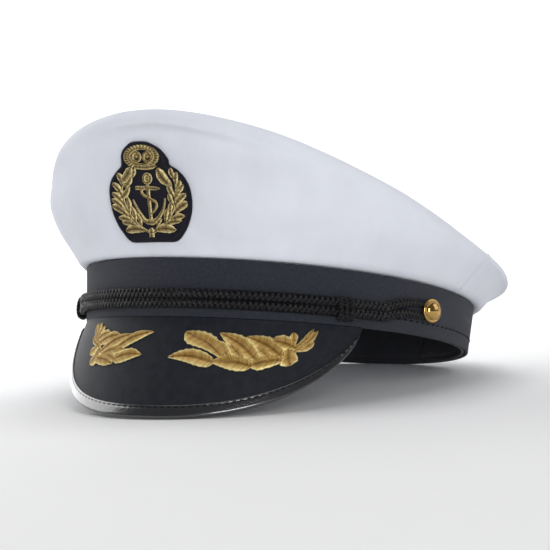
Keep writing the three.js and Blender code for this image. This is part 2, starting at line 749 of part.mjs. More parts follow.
const WHITE_CLOTH = material(0xf2f3f7, 0.75);
const BAND_CLOTH = material(0x24262c, 0.8);
const SWEATBAND_LEATHER = material(0x17181c, 0.6);
const PEAK_CLOTH = material(0x15171c, 0.55);
const BINDING_VINYL = material(0x1c1d20, 0.25);
const CORD_THREAD = material(0x0e0f12, 0.7);
const GILT = material(0xd8a83c, 0.18, 1);
const GOLD_THREAD = material(0xc9a24a, 0.45, 0.6);
const PATCH_FELT = material(0x12131c, 0.9);

function add(name, geometry, look) {
  const mesh = new THREE.Mesh(geometry, look);
  mesh.name = name;
  rest.add(mesh);
  return mesh;
}

add('crown', crownGeometry(), WHITE_CLOTH);
add('hat_band', bandGeometry(), BAND_CLOTH);
add('sweatband', sweatbandGeometry(), SWEATBAND_LEATHER);
add('peak', peakGeometry(), PEAK_CLOTH);
add('peak_binding', peakBindingGeometry(), BINDING_VINYL);
add('cord_upper', strandGeometry(STRAND_HIGH), CORD_THREAD);
add('cord_lower', strandGeometry(STRAND_LOW), CORD_THREAD);

for (const [side, label] of [[-1, 'right'], [1, 'left']]) {
  const knot = add(`cord_knot_${label}`, knotGeometry(), CORD_THREAD);
  const [low, high] = [STRAND_LOW, STRAND_HIGH].map((height) => {
    const { out: stand, up: level } = strandCentre(KNOT_ANGLE, height);
    return rimPoint(side * KNOT_ANGLE, stand, level);
  });
  knot.position.copy(low).add(high).multiplyScalar(0.5);
  const out = rimNormal(side * KNOT_ANGLE);
  const up = high.sub(low).normalize();
  const along = new THREE.Vector3().crossVectors(up, out).normalize();
  knot.quaternion.setFromRotationMatrix(new THREE.Matrix4().makeBasis(along, up, along.clone().cross(up)));

  add(`cord_loop_${label}`, loopGeometry(side), CORD_THREAD);

  const button = add(`button_${label}`, buttonGeometry(), GILT);
  const seat = rimHeight(BUTTON_ANGLE) + BUTTON_UP;
  button.position.copy(rimPoint(side * BUTTON_ANGLE, bandOut(BUTTON_ANGLE, seat), seat));
  button.quaternion.setFromUnitVectors(new THREE.Vector3(0, 0, 1), rimNormal(side * BUTTON_ANGLE));

  add(`leaf_sprig_${label}`, sprigGeometry(side), GOLD_THREAD);
}

add('badge_patch', patchGeometry(), PATCH_FELT);
add('badge_wreath', wreathGeometry(), GOLD_THREAD);
add('badge_anchor', anchorGeometry(), GOLD_THREAD);
add('badge_crown', rosetteGeometry(), GOLD_THREAD);

const cap = new THREE.Group();
cap.add(rest);

export default cap;
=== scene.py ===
"""A captain's peaked cap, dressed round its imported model.

The cap is laid out in the frame of its rim, in millimetres: +Z up through the crown, the
front toward -Y, the wearer's left toward +X, angles in degrees round from the front. Each
mesh is then tilted as the cap rests on its peak and on the back of its band, and written
in metres. Sections follow the cap as it is put together.
"""

import bpy
import numpy as np
from mathutils import Matrix


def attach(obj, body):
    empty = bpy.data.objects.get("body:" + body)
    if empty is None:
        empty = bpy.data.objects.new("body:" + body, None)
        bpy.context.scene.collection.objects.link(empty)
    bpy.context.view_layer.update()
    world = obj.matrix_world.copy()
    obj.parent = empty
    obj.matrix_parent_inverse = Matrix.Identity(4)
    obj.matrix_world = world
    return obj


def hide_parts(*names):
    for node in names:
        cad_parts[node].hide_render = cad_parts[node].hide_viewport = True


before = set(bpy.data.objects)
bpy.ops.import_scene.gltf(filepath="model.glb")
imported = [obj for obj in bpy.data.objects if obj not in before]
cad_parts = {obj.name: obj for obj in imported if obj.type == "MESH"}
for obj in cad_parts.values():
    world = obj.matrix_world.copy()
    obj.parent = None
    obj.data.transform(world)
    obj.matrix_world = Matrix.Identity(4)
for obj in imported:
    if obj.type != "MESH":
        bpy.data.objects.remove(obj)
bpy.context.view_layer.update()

# ---- hat band ------------------------------------------------------------------------
# A strip of fine ribbed black cloth round a stiff core. It is sewn into a ring that
# carries the crown above and the peak below, with a row of stitches near its lower edge.

GAP = 0.3
RIM_HALF_LENGTH = 104
RIM_HALF_WIDTH = 87.2
RIM_SIDE_RISE = 1.4
RIM_BACK_DROP = 2.6
REST_TILT = np.radians(11.46)
REST_LIFT = 22.7
REST_SHIFT = 1.55
BAND_HEIGHT_FRONT = 26.5
BAND_HEIGHT_BACK = 20.9
BAND_FLARE = 1.8
BAND_WALL = 1.8
BAND_CORNER = 0.6
BAND_LAP = 0.35
BAND_LAP_ANGLE = 178.6
BAND_STITCHES = 152
BAND_STITCH_UP = 6.3
BAND_STITCH_PRESS = 0.26
STITCH_SINK = 0.12


def rim_height(angle):
    """Height of the band's lower edge: side rise * sin^2 a - back drop * ((1 - cos a) / 2)^2."""
    a = np.radians(angle)
    return RIM_SIDE_RISE * np.sin(a) ** 2 - RIM_BACK_DROP * ((1 - np.cos(a)) / 2) ** 2


def band_top(angle):
    """Height of the band's upper edge: the band is highest in front and blends to the back."""
    back = (1 - np.cos(np.radians(angle))) / 2
    return rim_height(angle) + BAND_HEIGHT_FRONT + (BAND_HEIGHT_BACK - BAND_HEIGHT_FRONT) * back


def band_out(angle, up):
    """The band leans outward in proportion to the height above its lower edge."""
    low = rim_height(angle)
    return BAND_FLARE * (up - low) / (band_top(angle) - low)


def rim_point(angle, out, up):
    """A point on the rim's oval, widened by out: ((w + out) sin a, -(l + out) cos a, up)."""
    a = np.radians(angle)
    x = (RIM_HALF_WIDTH + out) * np.sin(a)
    y = -(RIM_HALF_LENGTH + out) * np.cos(a)
    return np.stack(np.broadcast_arrays(x, y, up), -1)


def unit(vectors):
    """Vectors divided by their lengths."""
    return vectors / np.linalg.norm(vectors, axis=-1, keepdims=True)


def rim_normal(angle):
    """Outward normal of the oval: (sin a / w, -cos a / l, 0), made one long."""
    a = np.radians(angle)
    x, y = np.sin(a) / RIM_HALF_WIDTH, -np.cos(a) / RIM_HALF_LENGTH
    return unit(np.stack([x, y, np.zeros_like(x)], -1))


def at_rest(points):
    """Turns the rim's frame by the resting tilt, lifts it, and gives metres.

    y' = y cos t + z sin t + shift, z' = z cos t - y sin t + lift, and no point lies
    below the surface on which the cap rests.
    """
    x, y, z = np.moveaxis(points, -1, 0)
    low = z * np.cos(REST_TILT) - y * np.sin(REST_TILT) + REST_LIFT
    back = y * np.cos(REST_TILT) + z * np.sin(REST_TILT) + REST_SHIFT
    return np.stack([x, back, np.maximum(low, 0)], -1) * 0.001


def arc_lengths(grid, axis, wrap):
    """Distance run along one axis of a grid of points, averaged over the other axis."""
    ends = np.take(grid, [0], axis)
    closed = np.concatenate([grid, ends], axis) if wrap else grid
    steps = np.linalg.norm(np.diff(closed, axis=axis), axis=-1).mean(1 - axis)
    return np.concatenate([[0], np.cumsum(steps)])


def surface(grid, wrap=False, cap="fan", uv=None):
    """A closed surface through rings of points, grid[row, column].

    Quads join each ring to the next, and the last to the first where wrap is set.
    Otherwise both ends are closed: by a fan from the ring's mean point, or by a ladder
    of quads between the ring's first half and its second half, read backwards.
    uv[row, column] has one more column than the grid, and one more row where it wraps;
    without it, u and v are the distances run along the rows and the columns.
    """
    rows, columns = grid.shape[:2]
    if uv is None:
        u = arc_lengths(grid, 0, wrap)
        v = arc_lengths(grid, 1, True)
        uv = np.stack(np.broadcast_arrays(u[:, None], v[None, :]), -1)
    points = grid.reshape(-1, 3)
    i, j = np.meshgrid(np.arange(rows if wrap else rows - 1), np.arange(columns), indexing="ij")
    i, j = i.ravel(), j.ravel()
    corner = [(i, j), (i, j + 1), (i + 1, j + 1), (i + 1, j)]
    quads = np.stack([(r % rows) * columns + c % columns for r, c in corner], -1)
    quad_uv = np.stack([uv[r, c] for r, c in corner], 1)
    tris = np.zeros((0, 3), int)
    tri_uv = np.zeros((0, 3, 2))
    if not wrap and cap == "fan":
        ring = np.arange(columns)
        after = (ring + 1) % columns
        last = (rows - 1) * columns
        first_tip = len(points)
        tips = grid[[0, -1]].mean(1)
        points = np.concatenate([points, tips])
        tris = np.concatenate([
            np.stack([after, ring, np.full(columns, first_tip)], -1),
            np.stack([last + ring, last + after, np.full(columns, first_tip + 1)], -1),
        ])
        start, end = uv[0], uv[-1]
        tri_uv = np.concatenate([
            np.stack([start[1:], start[:-1], (start[1:] + start[:-1]) / 2], 1),
            np.stack([end[:-1], end[1:], (end[1:] + end[:-1]) / 2], 1),
        ])
    elif not wrap:
        step = np.arange(columns // 2 - 1)
        rung = np.stack([step, step + 1, columns - 2 - step, columns - 1 - step], -1)
        last = (rows - 1) * columns
        quads = np.concatenate([quads, rung[:, ::-1], rung + last])
        quad_uv = np.concatenate([quad_uv, uv[0][rung[:, ::-1]], uv[-1][rung]])
    return {"points": points, "quads": quads, "quad_uv": quad_uv, "tris": tris, "tri_uv": tri_uv}


def faces_out(shape):
    """The surface with its faces turned outward, by the sign of the volume that it holds."""
    p = shape["points"] - shape["points"].mean(0)
    q = shape["quads"]
    halves = np.concatenate([q[:, [0, 1, 2]], q[:, [0, 2, 3]], shape["tris"]])
    a, b, c = p[halves[:, 0]], p[halves[:, 1]], p[halves[:, 2]]
    if np.einsum("ij,ij->", a, np.cross(b, c)) >= 0:
        return shape
    turned = {key: shape[key][:, ::-1] for key in ("quads", "quad_uv", "tris", "tri_uv")}
    return {"points": shape["points"], **turned}


def add_piece(name, shapes, material):
    """One object from closed surfaces, with its mesh in place and its own UV map."""
    shapes = [faces_out(shape) for shape in shapes]
    points = at_rest(np.concatenate([shape["points"] for shape in shapes]))
    shift = np.cumsum([0] + [len(shape["points"]) for shape in shapes[:-1]])
    quads = np.concatenate([shape["quads"] + n for shape, n in zip(shapes, shift)])
    tris = np.concatenate([shape["tris"] + n for shape, n in zip(shapes, shift)])
    corners = np.concatenate([quads.ravel(), tris.ravel()])
    quad_uv = np.concatenate([shape["quad_uv"].reshape(-1, 2) for shape in shapes])
    tri_uv = np.concatenate([shape["tri_uv"].reshape(-1, 2) for shape in shapes])
    mesh = bpy.data.meshes.new(name)
    mesh.vertices.add(len(points))
    mesh.vertices.foreach_set("co", points.ravel())
    mesh.loops.add(len(corners))
    mesh.loops.foreach_set("vertex_index", corners)
    mesh.polygons.add(len(quads) + len(tris))
    starts = np.concatenate([np.arange(len(quads)) * 4, quads.size + np.arange(len(tris)) * 3])
    mesh.polygons.foreach_set("loop_start", starts)
    mesh.polygons.foreach_set("use_smooth", np.ones(len(starts), bool))
    layer = mesh.uv_layers.new(name="thread")
    layer.data.foreach_set("uv", np.concatenate([quad_uv, tri_uv]).ravel())
    mesh.update(calc_edges=True)
    mesh.validate()
    mesh.materials.append(material)
    piece = bpy.data.objects.new(name, mesh)
    bpy.context.scene.collection.objects.link(piece)
    return piece


def repeat(shape, places, axes):
    """Copies of a surface: point p of copy n lies at places[n] + p . axes[n]."""
    count = len(places)
    points = places[:, None] + np.einsum("pk,nkj->npj", shape["points"], axes)
    shift = np.arange(count)[:, None, None] * len(shape["points"])
    return {
        "points": points.reshape(-1, 3),
        "quads": (shape["quads"] + shift).reshape(-1, 4),
        "tris": (shape["tris"] + shift).reshape(-1, 3),
        "quad_uv": np.tile(shape["quad_uv"], (count, 1, 1)),
        "tri_uv": np.tile(shape["tri_uv"], (count, 1, 1)),
    }


def bell(x, middle, width):
    """A smooth bump of height 1 round a middle: exp(-((x - middle) / width)^2)."""
    return np.exp(-(((x - middle) / width) ** 2))


def stitch_row(centres, normals, length, width, height):
    """Stitches along a line, each a low spheroid.

    x = l/2 sin b, y = w/2 cos b cos c and z = h cos b sin c, with b from -72 to 72 degrees
    along the stitch and c all the way round it.
    """
    b = np.radians(np.linspace(-72, 72, 5))[:, None]
    c = np.radians(np.arange(0, 360, 60))[None, :]
    x = length / 2 * np.sin(b) + 0 * c
    grid = np.stack([x, width / 2 * np.cos(b) * np.cos(c), height * np.cos(b) * np.sin(c)], -1)
    along = unit(np.gradient(centres, axis=0))
    across = unit(np.cross(normals, along))
    return repeat(surface(grid), centres, np.stack([along, across, normals], 1))


def strip_profile(wall, corner, face_steps, back_steps):
    """Closed profile of a cloth strip, as distance out from its face and share of its height.

    The face runs up, the top turns over, the back runs down; corner is the share of the
    height that each edge takes to turn over, along half an ellipse as deep as the wall.
    """
    turn = np.linspace(0, np.pi, 9)[1:-1]
    up_face = np.linspace(corner, 1 - corner, face_steps)
    up_back = np.linspace(1 - corner, corner, back_steps)
    out = [
        0 * up_face,
        (np.cos(turn) - 1) * wall / 2,
        0 * up_back - wall,
        -(np.cos(turn) + 1) * wall / 2,
    ]
    up = [
        up_face,
        1 - corner + corner * np.sin(turn),
        up_back,
        corner - corner * np.sin(turn),
    ]
    return np.concatenate(out), np.concatenate(up)


def make_node(tree, kind, inputs=None, **settings):
    """A shader node with its settings; inputs holds values, or the sockets that feed it."""
    made = tree.nodes.new(kind)
    for key, value in settings.items():
        setattr(made, key, value)
    for key, value in (inputs or {}).items():
        if isinstance(value, bpy.types.NodeSocket):
            tree.links.new(value, made.inputs[key])
        else:
            made.inputs[key].default_value = value
    return made


def new_material(name, color, roughness, **sockets):
    """A material with one Principled shader; what is the same all over is set on its sockets."""
    material = bpy.data.materials.new(name)
    material.use_nodes = True
    shader = material.node_tree.nodes["Principled BSDF"]
    shader.inputs["Base Color"].default_value = (*color, 1)
    shader.inputs["Roughness"].default_value = roughness
    for key, value in sockets.items():
        shader.inputs[key.replace("_", " ")].default_value = value
    return material, material.node_tree, shader


def thread_uv(tree):
    """The piece's own UV map: distances on the cloth in mm, or thread number and place across."""
    return make_node(tree, "ShaderNodeUVMap", uv_map="thread").outputs["UV"]


def noise(tree, vector, scale, detail=2, roughness=0.5):
    """Cloudy noise of 0 to 1, with scale clouds to one unit of the vector."""
    inputs = {"Vector": vector, "Scale": scale, "Detail": detail, "Roughness": roughness}
    return make_node(tree, "ShaderNodeTexNoise", inputs).outputs["Fac"]


def ribs(tree, vector, pitch, direction, distortion=0.0):
    """Height 0 to 1 of parallel threads: a sine wave of that pitch in mm along one direction."""
    scale = np.pi / 10 / pitch
    inputs = {"Vector": vector, "Scale": scale, "Distortion": distortion, "Detail": 1}
    return make_node(tree, "ShaderNodeTexWave", inputs, bands_direction=direction).outputs["Fac"]


def math(tree, operation, *values):
    """The result of one operation on values or sockets."""
    made = make_node(tree, "ShaderNodeMath", dict(enumerate(values)), operation=operation)
    return made.outputs[0]


def tint(tree, shader, factor, *stops):
    """Feeds the base colour from a ramp through (place, colour) stops."""
    made = make_node(tree, "ShaderNodeValToRGB", {"Fac": factor})
    elements = made.color_ramp.elements
    while len(elements) < len(stops):
        elements.new(0.5)
    for element, (place, color) in zip(elements, stops):
        element.position = place
        element.color = (*color, 1)
    tree.links.new(made.outputs["Color"], shader.inputs["Base Color"])


def bump(tree, shader, height, distance):
    """Feeds a height of 0 to 1 to the shader's normal; distance is its depth in metres."""
    made = make_node(tree, "ShaderNodeBump", {"Height": height, "Distance": distance})
    tree.links.new(made.outputs["Normal"], shader.inputs["Normal"])


def band_cloth():
    """Charcoal-black cloth of a fine plain weave, with a painted highlight that makes its threads a little
    lighter on their crowns.
    """
    material, tree, shader = new_material(
        "band_cloth", (0.02, 0.021, 0.026), 0.82,
        Specular_IOR_Level=0.2, Sheen_Weight=0.08, Sheen_Roughness=0.5,
    )
    uv = thread_uv(tree)
    weave = math(tree, "MULTIPLY", ribs(tree, uv, 0.55, "X"), ribs(tree, uv, 0.5, "Y"))
    # Painted highlight: the weave's crowns lighten the colour, and the hollows between threads stay darker
    # as painted shade.
    tone = math(tree, "MULTIPLY_ADD", weave, 0.45, noise(tree, uv, 0.7, 6, 0.7))
    tint(tree, shader, tone, (0.3, (0.014, 0.016, 0.0225)), (0.95, (0.039, 0.043, 0.058)))
    bump(tree, shader, weave, 0.00016)
    return material


def band_ring():
    """The strip's profile carried round the rim's oval.

    Its face wavers by 0.1 mm five times and by 0.06 mm thirteen times round, is pressed in
    along the stitches, and steps out at the lap by lap (1 + tanh(3 (|a| - lap angle))) / 2.
    """
    corner = BAND_CORNER / BAND_HEIGHT_FRONT
    across, share = strip_profile(BAND_WALL, corner, face_steps=52, back_steps=6)
    angle = np.linspace(-180, 180, 600, endpoint=False)[:, None]
    low, high = rim_height(angle), band_top(angle)
    up = low + (high - low) * share
    on_face = across > -0.05
    press = BAND_STITCH_PRESS * bell(up - low, BAND_STITCH_UP, 0.6)
    a = np.radians(angle)
    waver = 0.1 * np.sin(5 * a + 0.6) + 0.06 * np.sin(13 * a + up / 6)
    lap = BAND_LAP * (1 + np.tanh(3 * (np.abs(angle) - BAND_LAP_ANGLE))) / 2
    out = band_out(angle, up) + across + on_face * (waver - press + lap)
    return rim_point(angle, out, up)


band = add_piece("band_cloth_ring", [surface(band_ring(), wrap=True)], band_cloth())
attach(band, "root")
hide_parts("hat_band")


def stitch_thread():
    """Dull black sewing thread with a twist too fine for its own shape."""
    material, tree, shader = new_material(
        "stitch_thread", (0.004, 0.004, 0.005), 0.8, Specular_IOR_Level=0.1
    )
    bump(tree, shader, noise(tree, thread_uv(tree), 9), 0.00005)
    return material


def band_stitch_row():
    """Even stitches all round the band's face, sunk a little into the pressed line."""
    angle = np.linspace(-180, 180, BAND_STITCHES, endpoint=False)
    up = rim_height(angle) + BAND_STITCH_UP
    centres = rim_point(angle, band_out(angle, up) - STITCH_SINK, up)
    return stitch_row(centres, rim_normal(angle), length=2.6, width=0.8, height=0.3)


band_stitches = add_piece("band_stitches", [band_stitch_row()], stitch_thread())
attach(band_stitches, "root")

# ---- sweatband -----------------------------------------------------------------------
# A thin band of black leathercloth inside the hat band, where the cap meets the head.
# It is joined by an upright seam near the back and sewn in along its lower edge.

SWEATBAND_WALL = 1.2
SWEATBAND_HEIGHT = 18
SWEATBAND_SEAM = 162.5
SWEATBAND_HEM = 2.6


def leathercloth():
    """Smooth black leathercloth with a fine pebble grain."""
    material, tree, shader = new_material("sweatband_leathercloth", (0.012, 0.012, 0.014), 0.48)
    uv = thread_uv(tree)
    grain = make_node(tree, "ShaderNodeTexVoronoi", {"Vector": uv, "Scale": 1.4})
    tone = noise(tree, uv, 0.08, 4)
    tint(tree, shader, tone, (0.35, (0.011, 0.0115, 0.016)), (0.7, (0.022, 0.023, 0.032)))
    bump(tree, shader, grain.outputs["Distance"], 0.00008)
    return material


def sweatband_ring():
    """A strip inside the band's wall, with a ridge and a groove at its seam and a pressed hem."""
    across, share = strip_profile(SWEATBAND_WALL, 0.03, face_steps=4, back_steps=26)
    angle = np.linspace(-180, 180, 480, endpoint=False)[:, None]
    height = SWEATBAND_HEIGHT * share
    up = rim_height(angle) + GAP + height
    on_back = across < 0.05 - SWEATBAND_WALL
    ridge = 0.5 * bell(angle, SWEATBAND_SEAM, 1.2)
    groove = 0.35 * bell(angle, SWEATBAND_SEAM + 1.4, 0.5)
    hem = 0.25 * bell(height, SWEATBAND_HEM, 0.5)
    out = band_out(angle, up) - BAND_WALL - GAP + across - on_back * (ridge - groove - hem)
    return rim_point(angle, out, up)


sweatband = add_piece("sweatband_ring", [surface(sweatband_ring(), wrap=True)], leathercloth())
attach(sweatband, "root")
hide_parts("sweatband")

# ---- crown ---------------------------------------------------------------------------
# The white top of cotton twill: a side wall that swells out over the band and an oval top
# that is stretched over a hoop, so its edge stands out as a soft roll. The wall is sewn
# from a front and a back panel that meet at the sides.

CROWN_WALL = 1.6
CROWN_SECTIONS = {
    # out from the rim's oval and up from the rim, at 0, 30, 60, 90, 120, 150, 180 degrees
    "belly": [[5.5, 40], [10.5, 38], [16.6, 42.5], [16.1, 39.2], [14, 32.1], [11.6, 25.8], [10.4, 23.8]],
    "wide": [[11, 58], [18.6, 55], [22.4, 54], [18.7, 43.3], [17.3, 34], [16.8, 30], [16.2, 28.2]],
    "tuck": [[16, 75], [20.6, 69], [22, 59.5], [17.8, 45.6], [17, 36.2], [17.2, 32], [16.8, 30.2]],
    "roll": [[22.5, 85], [23, 77], [19.4, 63.8], [15.2, 47.8], [14.3, 38.5], [15, 34.3], [14.8, 32.6]],
    "crest": [[19, 91], [19.8, 83], [15.5, 66.2], [11.7, 49.1], [10.3, 40], [11.5, 35.6], [11.5, 33.9]],
    "inner": [[6, 91.5], [6.5, 84.5], [1.5, 67.5], [-2.3, 50.6], [-3.7, 41.5], [-2.5, 37.1], [-2.5, 35.4]],
}
CROWN_COLUMNS = 360
CROWN_MEAN_RADIUS = 108
INNER_RING = 4
SIDE_SEAM_ANGLE = 97
EDGE_SEAM_PLACE = 0.855
HOLLOW_DEPTH = 4.2
HOLLOW_ANGLE = 7
HOLLOW_WIDTH = 27
HOLLOW_PLACE = 0.56
CROWN_DENTS = [
    # depth, angle and place of the middle, width in degrees, height as a share, and shear
    (1.3, 39, 0.16, 7, 0.07, 0.002),
    (0.9, 16, 0.12, 6, 0.08, 0),
    (0.8, 66, 0.3, 12, 0.1, -0.004),
    (1.1, 92, 0.62, 16, 0.05, -0.001),
]


def crown_point(name, angle):
    """One point of the side section at any angle: a Catmull-Rom blend of four table rows."""
    table = np.array(CROWN_SECTIONS[name], float)
    rows = np.concatenate([table[1:2], table, table[-2:-1]])
    place = np.abs(np.asarray(angle, float)) / 30
    i = np.minimum(place.astype(int), 5)
    f = (place - i)[..., None]
    before, start, end, after = (rows[i + k] for k in range(4))
    slope_start, slope_end = (end - before) / 2, (after - start) / 2
    square = 3 * (end - start) - 2 * slope_start - slope_end
    cube = 2 * (start - end) + slope_start + slope_end
    return start + f * (slope_start + f * (square + f * cube))


def crown_section(angle, place):
    """(out, up) on the side section at a place from 0, at the band, to 1, at the flat top.

    A centripetal Catmull-Rom curve through seven points: each stretch is a cubic whose end
    slopes weigh the neighbouring chords by the square roots of their lengths.
    """
    angle, place = np.broadcast_arrays(np.asarray(angle, float), place)
    foot = np.stack([np.full(angle.shape, BAND_FLARE), band_top(angle) + GAP], -1)
    points = np.stack([foot] + [crown_point(name, angle) for name in CROWN_SECTIONS], -2)
    first = 2 * points[..., :1, :] - points[..., 1:2, :]
    last = 2 * points[..., -1:, :] - points[..., -2:-1, :]
    points = np.concatenate([first, points, last], -2)
    t = place * 6
    i = np.minimum(t.astype(int), 5)
    f = (t - i)[..., None]
    near = (np.take_along_axis(points, (i + k)[..., None, None], -2) for k in range(4))
    a, b, c, d = (point[..., 0, :] for point in near)
    chords = (b - a, c - b, d - c)
    ab, bc, cd = (np.sqrt(np.linalg.norm(chord, axis=-1, keepdims=True)) for chord in chords)
    slope_b = ((b - a) / ab - (c - a) / (ab + bc) + (c - b) / bc) * bc
    slope_c = ((c - b) / bc - (d - b) / (bc + cd) + (d - c) / cd) * bc
    square = 3 * (c - b) - 2 * slope_b - slope_c
    cube = 2 * (b - c) + slope_b + slope_c
    return b + f * (slope_b + f * (square + f * cube))


def crown_top(angle, share):
    """The oval top, from its middle (share 0) to its edge (1): a tilted plane that sags.

    Off the plane it rises with the square of the share up to the edge. The middle is as
    high as the edge on average, with the sides counted four times as much as the ends.
    """
    edge = crown_point("inner", angle)
    front, beside, side, back = (crown_point("inner", at)[1] for at in (0, 45, 90, 180))
    middle = (front + back + 4 * side + 4 * beside) / 10
    lean = (front - back) / 2 * np.cos(np.radians(angle))
    point = rim_point(angle, edge[..., 0], 0) * share[..., None]
    point[..., 2] = middle + lean * share + (edge[..., 1] - middle - lean) * share**2
    return point


def grid_normals(grid):
    """Unit normals of a grid whose columns run round: the cross product of its two slopes."""
    down = np.gradient(grid, axis=0)
    around = (np.roll(grid, -1, 1) - np.roll(grid, 1, 1)) / 2
    return unit(np.cross(around, down))


def dent(angle, place, at_angle, at_place, wide, tall, shear):
    """A soft hollow: a bell in angle times a bell in place on the section, slanted by a shear."""
    aside = np.abs(angle) - at_angle
    return bell(aside, 0, wide) * bell(place - shear * aside, at_place, tall)


def crown_relief(angle, place):
    """How far the cloth stands off its even shape, in mm.

    In order: the side seams, a groove with the turned-in cloth raised behind it; the edge
    seam round the top; puckers and a full fold where the cloth is gathered into the band;
    the wide hollow under the roll in front; single dents; and slow waves all round.
    """
    a = np.radians(angle)
    behind = np.abs(angle) - SIDE_SEAM_ANGLE
    side_seam = 0.6 * bell(behind, 1.1, 0.9) - 1.1 * bell(behind, 0, 0.5)
    relief = side_seam * np.clip((0.62 - place) * 12, 0, 1)
    relief -= 0.35 * bell(place, EDGE_SEAM_PLACE, 0.008)
    relief += 0.15 * bell(place, EDGE_SEAM_PLACE - 0.025, 0.02)
    pucker = np.sin(34 * a) + 0.6 * np.sin(53 * a + 1.3)
    relief += 0.12 * pucker * bell(place, 0, 0.1) + 1.6 * bell(place, 0.02, 0.06)
    hollow_height = np.where(place > HOLLOW_PLACE, 0.095, 0.13)
    hollow = bell(angle, HOLLOW_ANGLE, HOLLOW_WIDTH) * bell(place, HOLLOW_PLACE, hollow_height)
    relief -= HOLLOW_DEPTH * hollow
    for depth, *where in CROWN_DENTS:
        relief -= depth * dent(angle, place, *where)
    relief += 0.5 * np.sin(3 * a + 0.7) * np.sin(np.pi * np.clip(place, 0, 1)) ** 2
    relief += 0.22 * np.sin(9 * a + 4 * place + 1) * np.clip(1 - place, 0, 1)
    return relief


def crown_shell():
    """The cloth as one closed wall: rings down its inside, and up its outside to the top's middle.

    Rings are closest at the edge seam. The inside, hardly seen, has every fourth ring only.
    """
    angle = np.linspace(-180, 180, CROWN_COLUMNS, endpoint=False)
    stretches = (0, 0.78, 58), (0.785, 0.9, 24), (0.91, 1, 7)
    place = np.concatenate([np.linspace(*stretch) for stretch in stretches])
    section = crown_section(angle[None, :], place[:, None])
    wall = rim_point(angle[None, :], section[..., 0], section[..., 1])
    share = np.linspace(0.97, 0.03, 24)
    top = crown_top(angle[None, :], share[:, None])
    outer = np.concatenate([wall, top])
    normals = grid_normals(outer)
    normals *= np.sign(normals[-1, :, 2].mean())
    level = np.concatenate([place, 2 - share])[:, None]
    relief = crown_relief(angle[None, :], level) * np.clip(level / 0.02, 0, 1)
    outer = outer + normals * relief[..., None]
    inner = outer - normals * CROWN_WALL
    grid = np.concatenate([inner[::-INNER_RING], outer])
    around = np.radians(np.linspace(-180, 180, CROWN_COLUMNS + 1)) * CROWN_MEAN_RADIUS
    run = arc_lengths(wall, 0, False)
    wall_uv = np.stack(np.broadcast_arrays(around[None, :], run[:, None]), -1)
    top_uv = np.concatenate([top, top[:, :1]], 1)[..., :2]
    outer_uv = np.concatenate([wall_uv, top_uv])
    return surface(grid, uv=np.concatenate([outer_uv[::-INNER_RING], outer_uv]))


def crown_cloth():
    """White cotton twill: fine slanting ribs, hardly any gloss, and faint shifts of tone."""
    material, tree, shader = new_material(
        "crown_twill", (0.74, 0.75, 0.79), 0.85,
        Specular_IOR_Level=0.25, Sheen_Weight=0.1, Sheen_Roughness=0.5,
    )
    uv = thread_uv(tree)
    twill = ribs(tree, uv, 0.46, "DIAGONAL", 3.0)
    tone = noise(tree, uv, 0.05, 5, 0.6)
    tint(tree, shader, tone, (0.3, (0.685, 0.705, 0.775)), (0.7, (0.735, 0.755, 0.82)))
    bump(tree, shader, twill, 0.00003)
    return material


crown = add_piece("crown_shell", [crown_shell()], crown_cloth())
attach(crown, "root")
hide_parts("crown")

# ---- peak ----------------------------------------------------------------------------
# A stiff board under black satin cloth, sewn into the lower edge of the band. It falls
# forward in a deep curve and sits a few degrees round toward the wearer's left.

PEAK_TURN = 5
PEAK_HALF_ANGLE = 57.6
PEAK_HALF_ROOT = 92
PEAK_END = 0.98
PEAK_REACH = 16
PEAK_DROP = 45
PEAK_BULGE = 0.5
PEAK_WALL = 2
PEAK_ROOT = 0.9
PEAK_NOSE = 0.3
PEAK_TUCK = np.array([0, 0.3, 1.2])


def peak_point(along, down):
    """The peak's middle surface, along -1 to 1 across it and down 0 to 1 to its free edge.

    It starts on the band's lower edge, reaches forward by r (1 - along^2)^0.4 and falls by
    d (1 - |along|^2.4)^0.64, both in proportion to down, with a slight swell between.
    """
    along, down = np.broadcast_arrays(along, down)
    angle = PEAK_TURN + along * PEAK_HALF_ANGLE
    root = rim_point(angle, -PEAK_ROOT, rim_height(angle) - PEAK_ROOT)
    reach = down * PEAK_REACH * (1 - along**2) ** 0.4
    drop = PEAK_DROP * (1 - np.abs(along) ** 2.4) ** 0.64
    swell = PEAK_BULGE * 4 * down * (1 - down) * drop / PEAK_DROP
    turn = np.radians(PEAK_TURN)
    fall = np.stack([reach * np.sin(turn), -reach * np.cos(turn), -drop * down], -1)
    return root + fall + rim_normal(angle) * swell[..., None]


def peak_depth(along):
    """Length of the peak from the band to its free edge."""
    return np.linalg.norm(peak_point(along, 1) - peak_point(along, 0), axis=-1)


def peak_normal(along, down):
    """Unit normal of the peak, up and forward, from the surface's slopes."""
    step = 0.002
    across = peak_point(along + step, down) - peak_point(along - step, down)
    fall = peak_point(along, down + step) - peak_point(along, down - step)
    return unit(np.cross(fall, across))


def on_peak(flat):
    """Bends flat points (mm across, mm down from the band, mm off the cloth) onto the peak."""
    x, y, height = np.moveaxis(flat, -1, 0)
    along = x / PEAK_HALF_ROOT
    down = y / peak_depth(along)
    lift = PEAK_WALL / 2 + height
    return peak_point(along, down) + peak_normal(along, down) * lift[..., None]


def peak_stations(count):
    """Places across the peak, closer together toward its ends: a sine of even steps."""
    return PEAK_END * np.sin(np.linspace(-np.pi / 2, np.pi / 2, count))


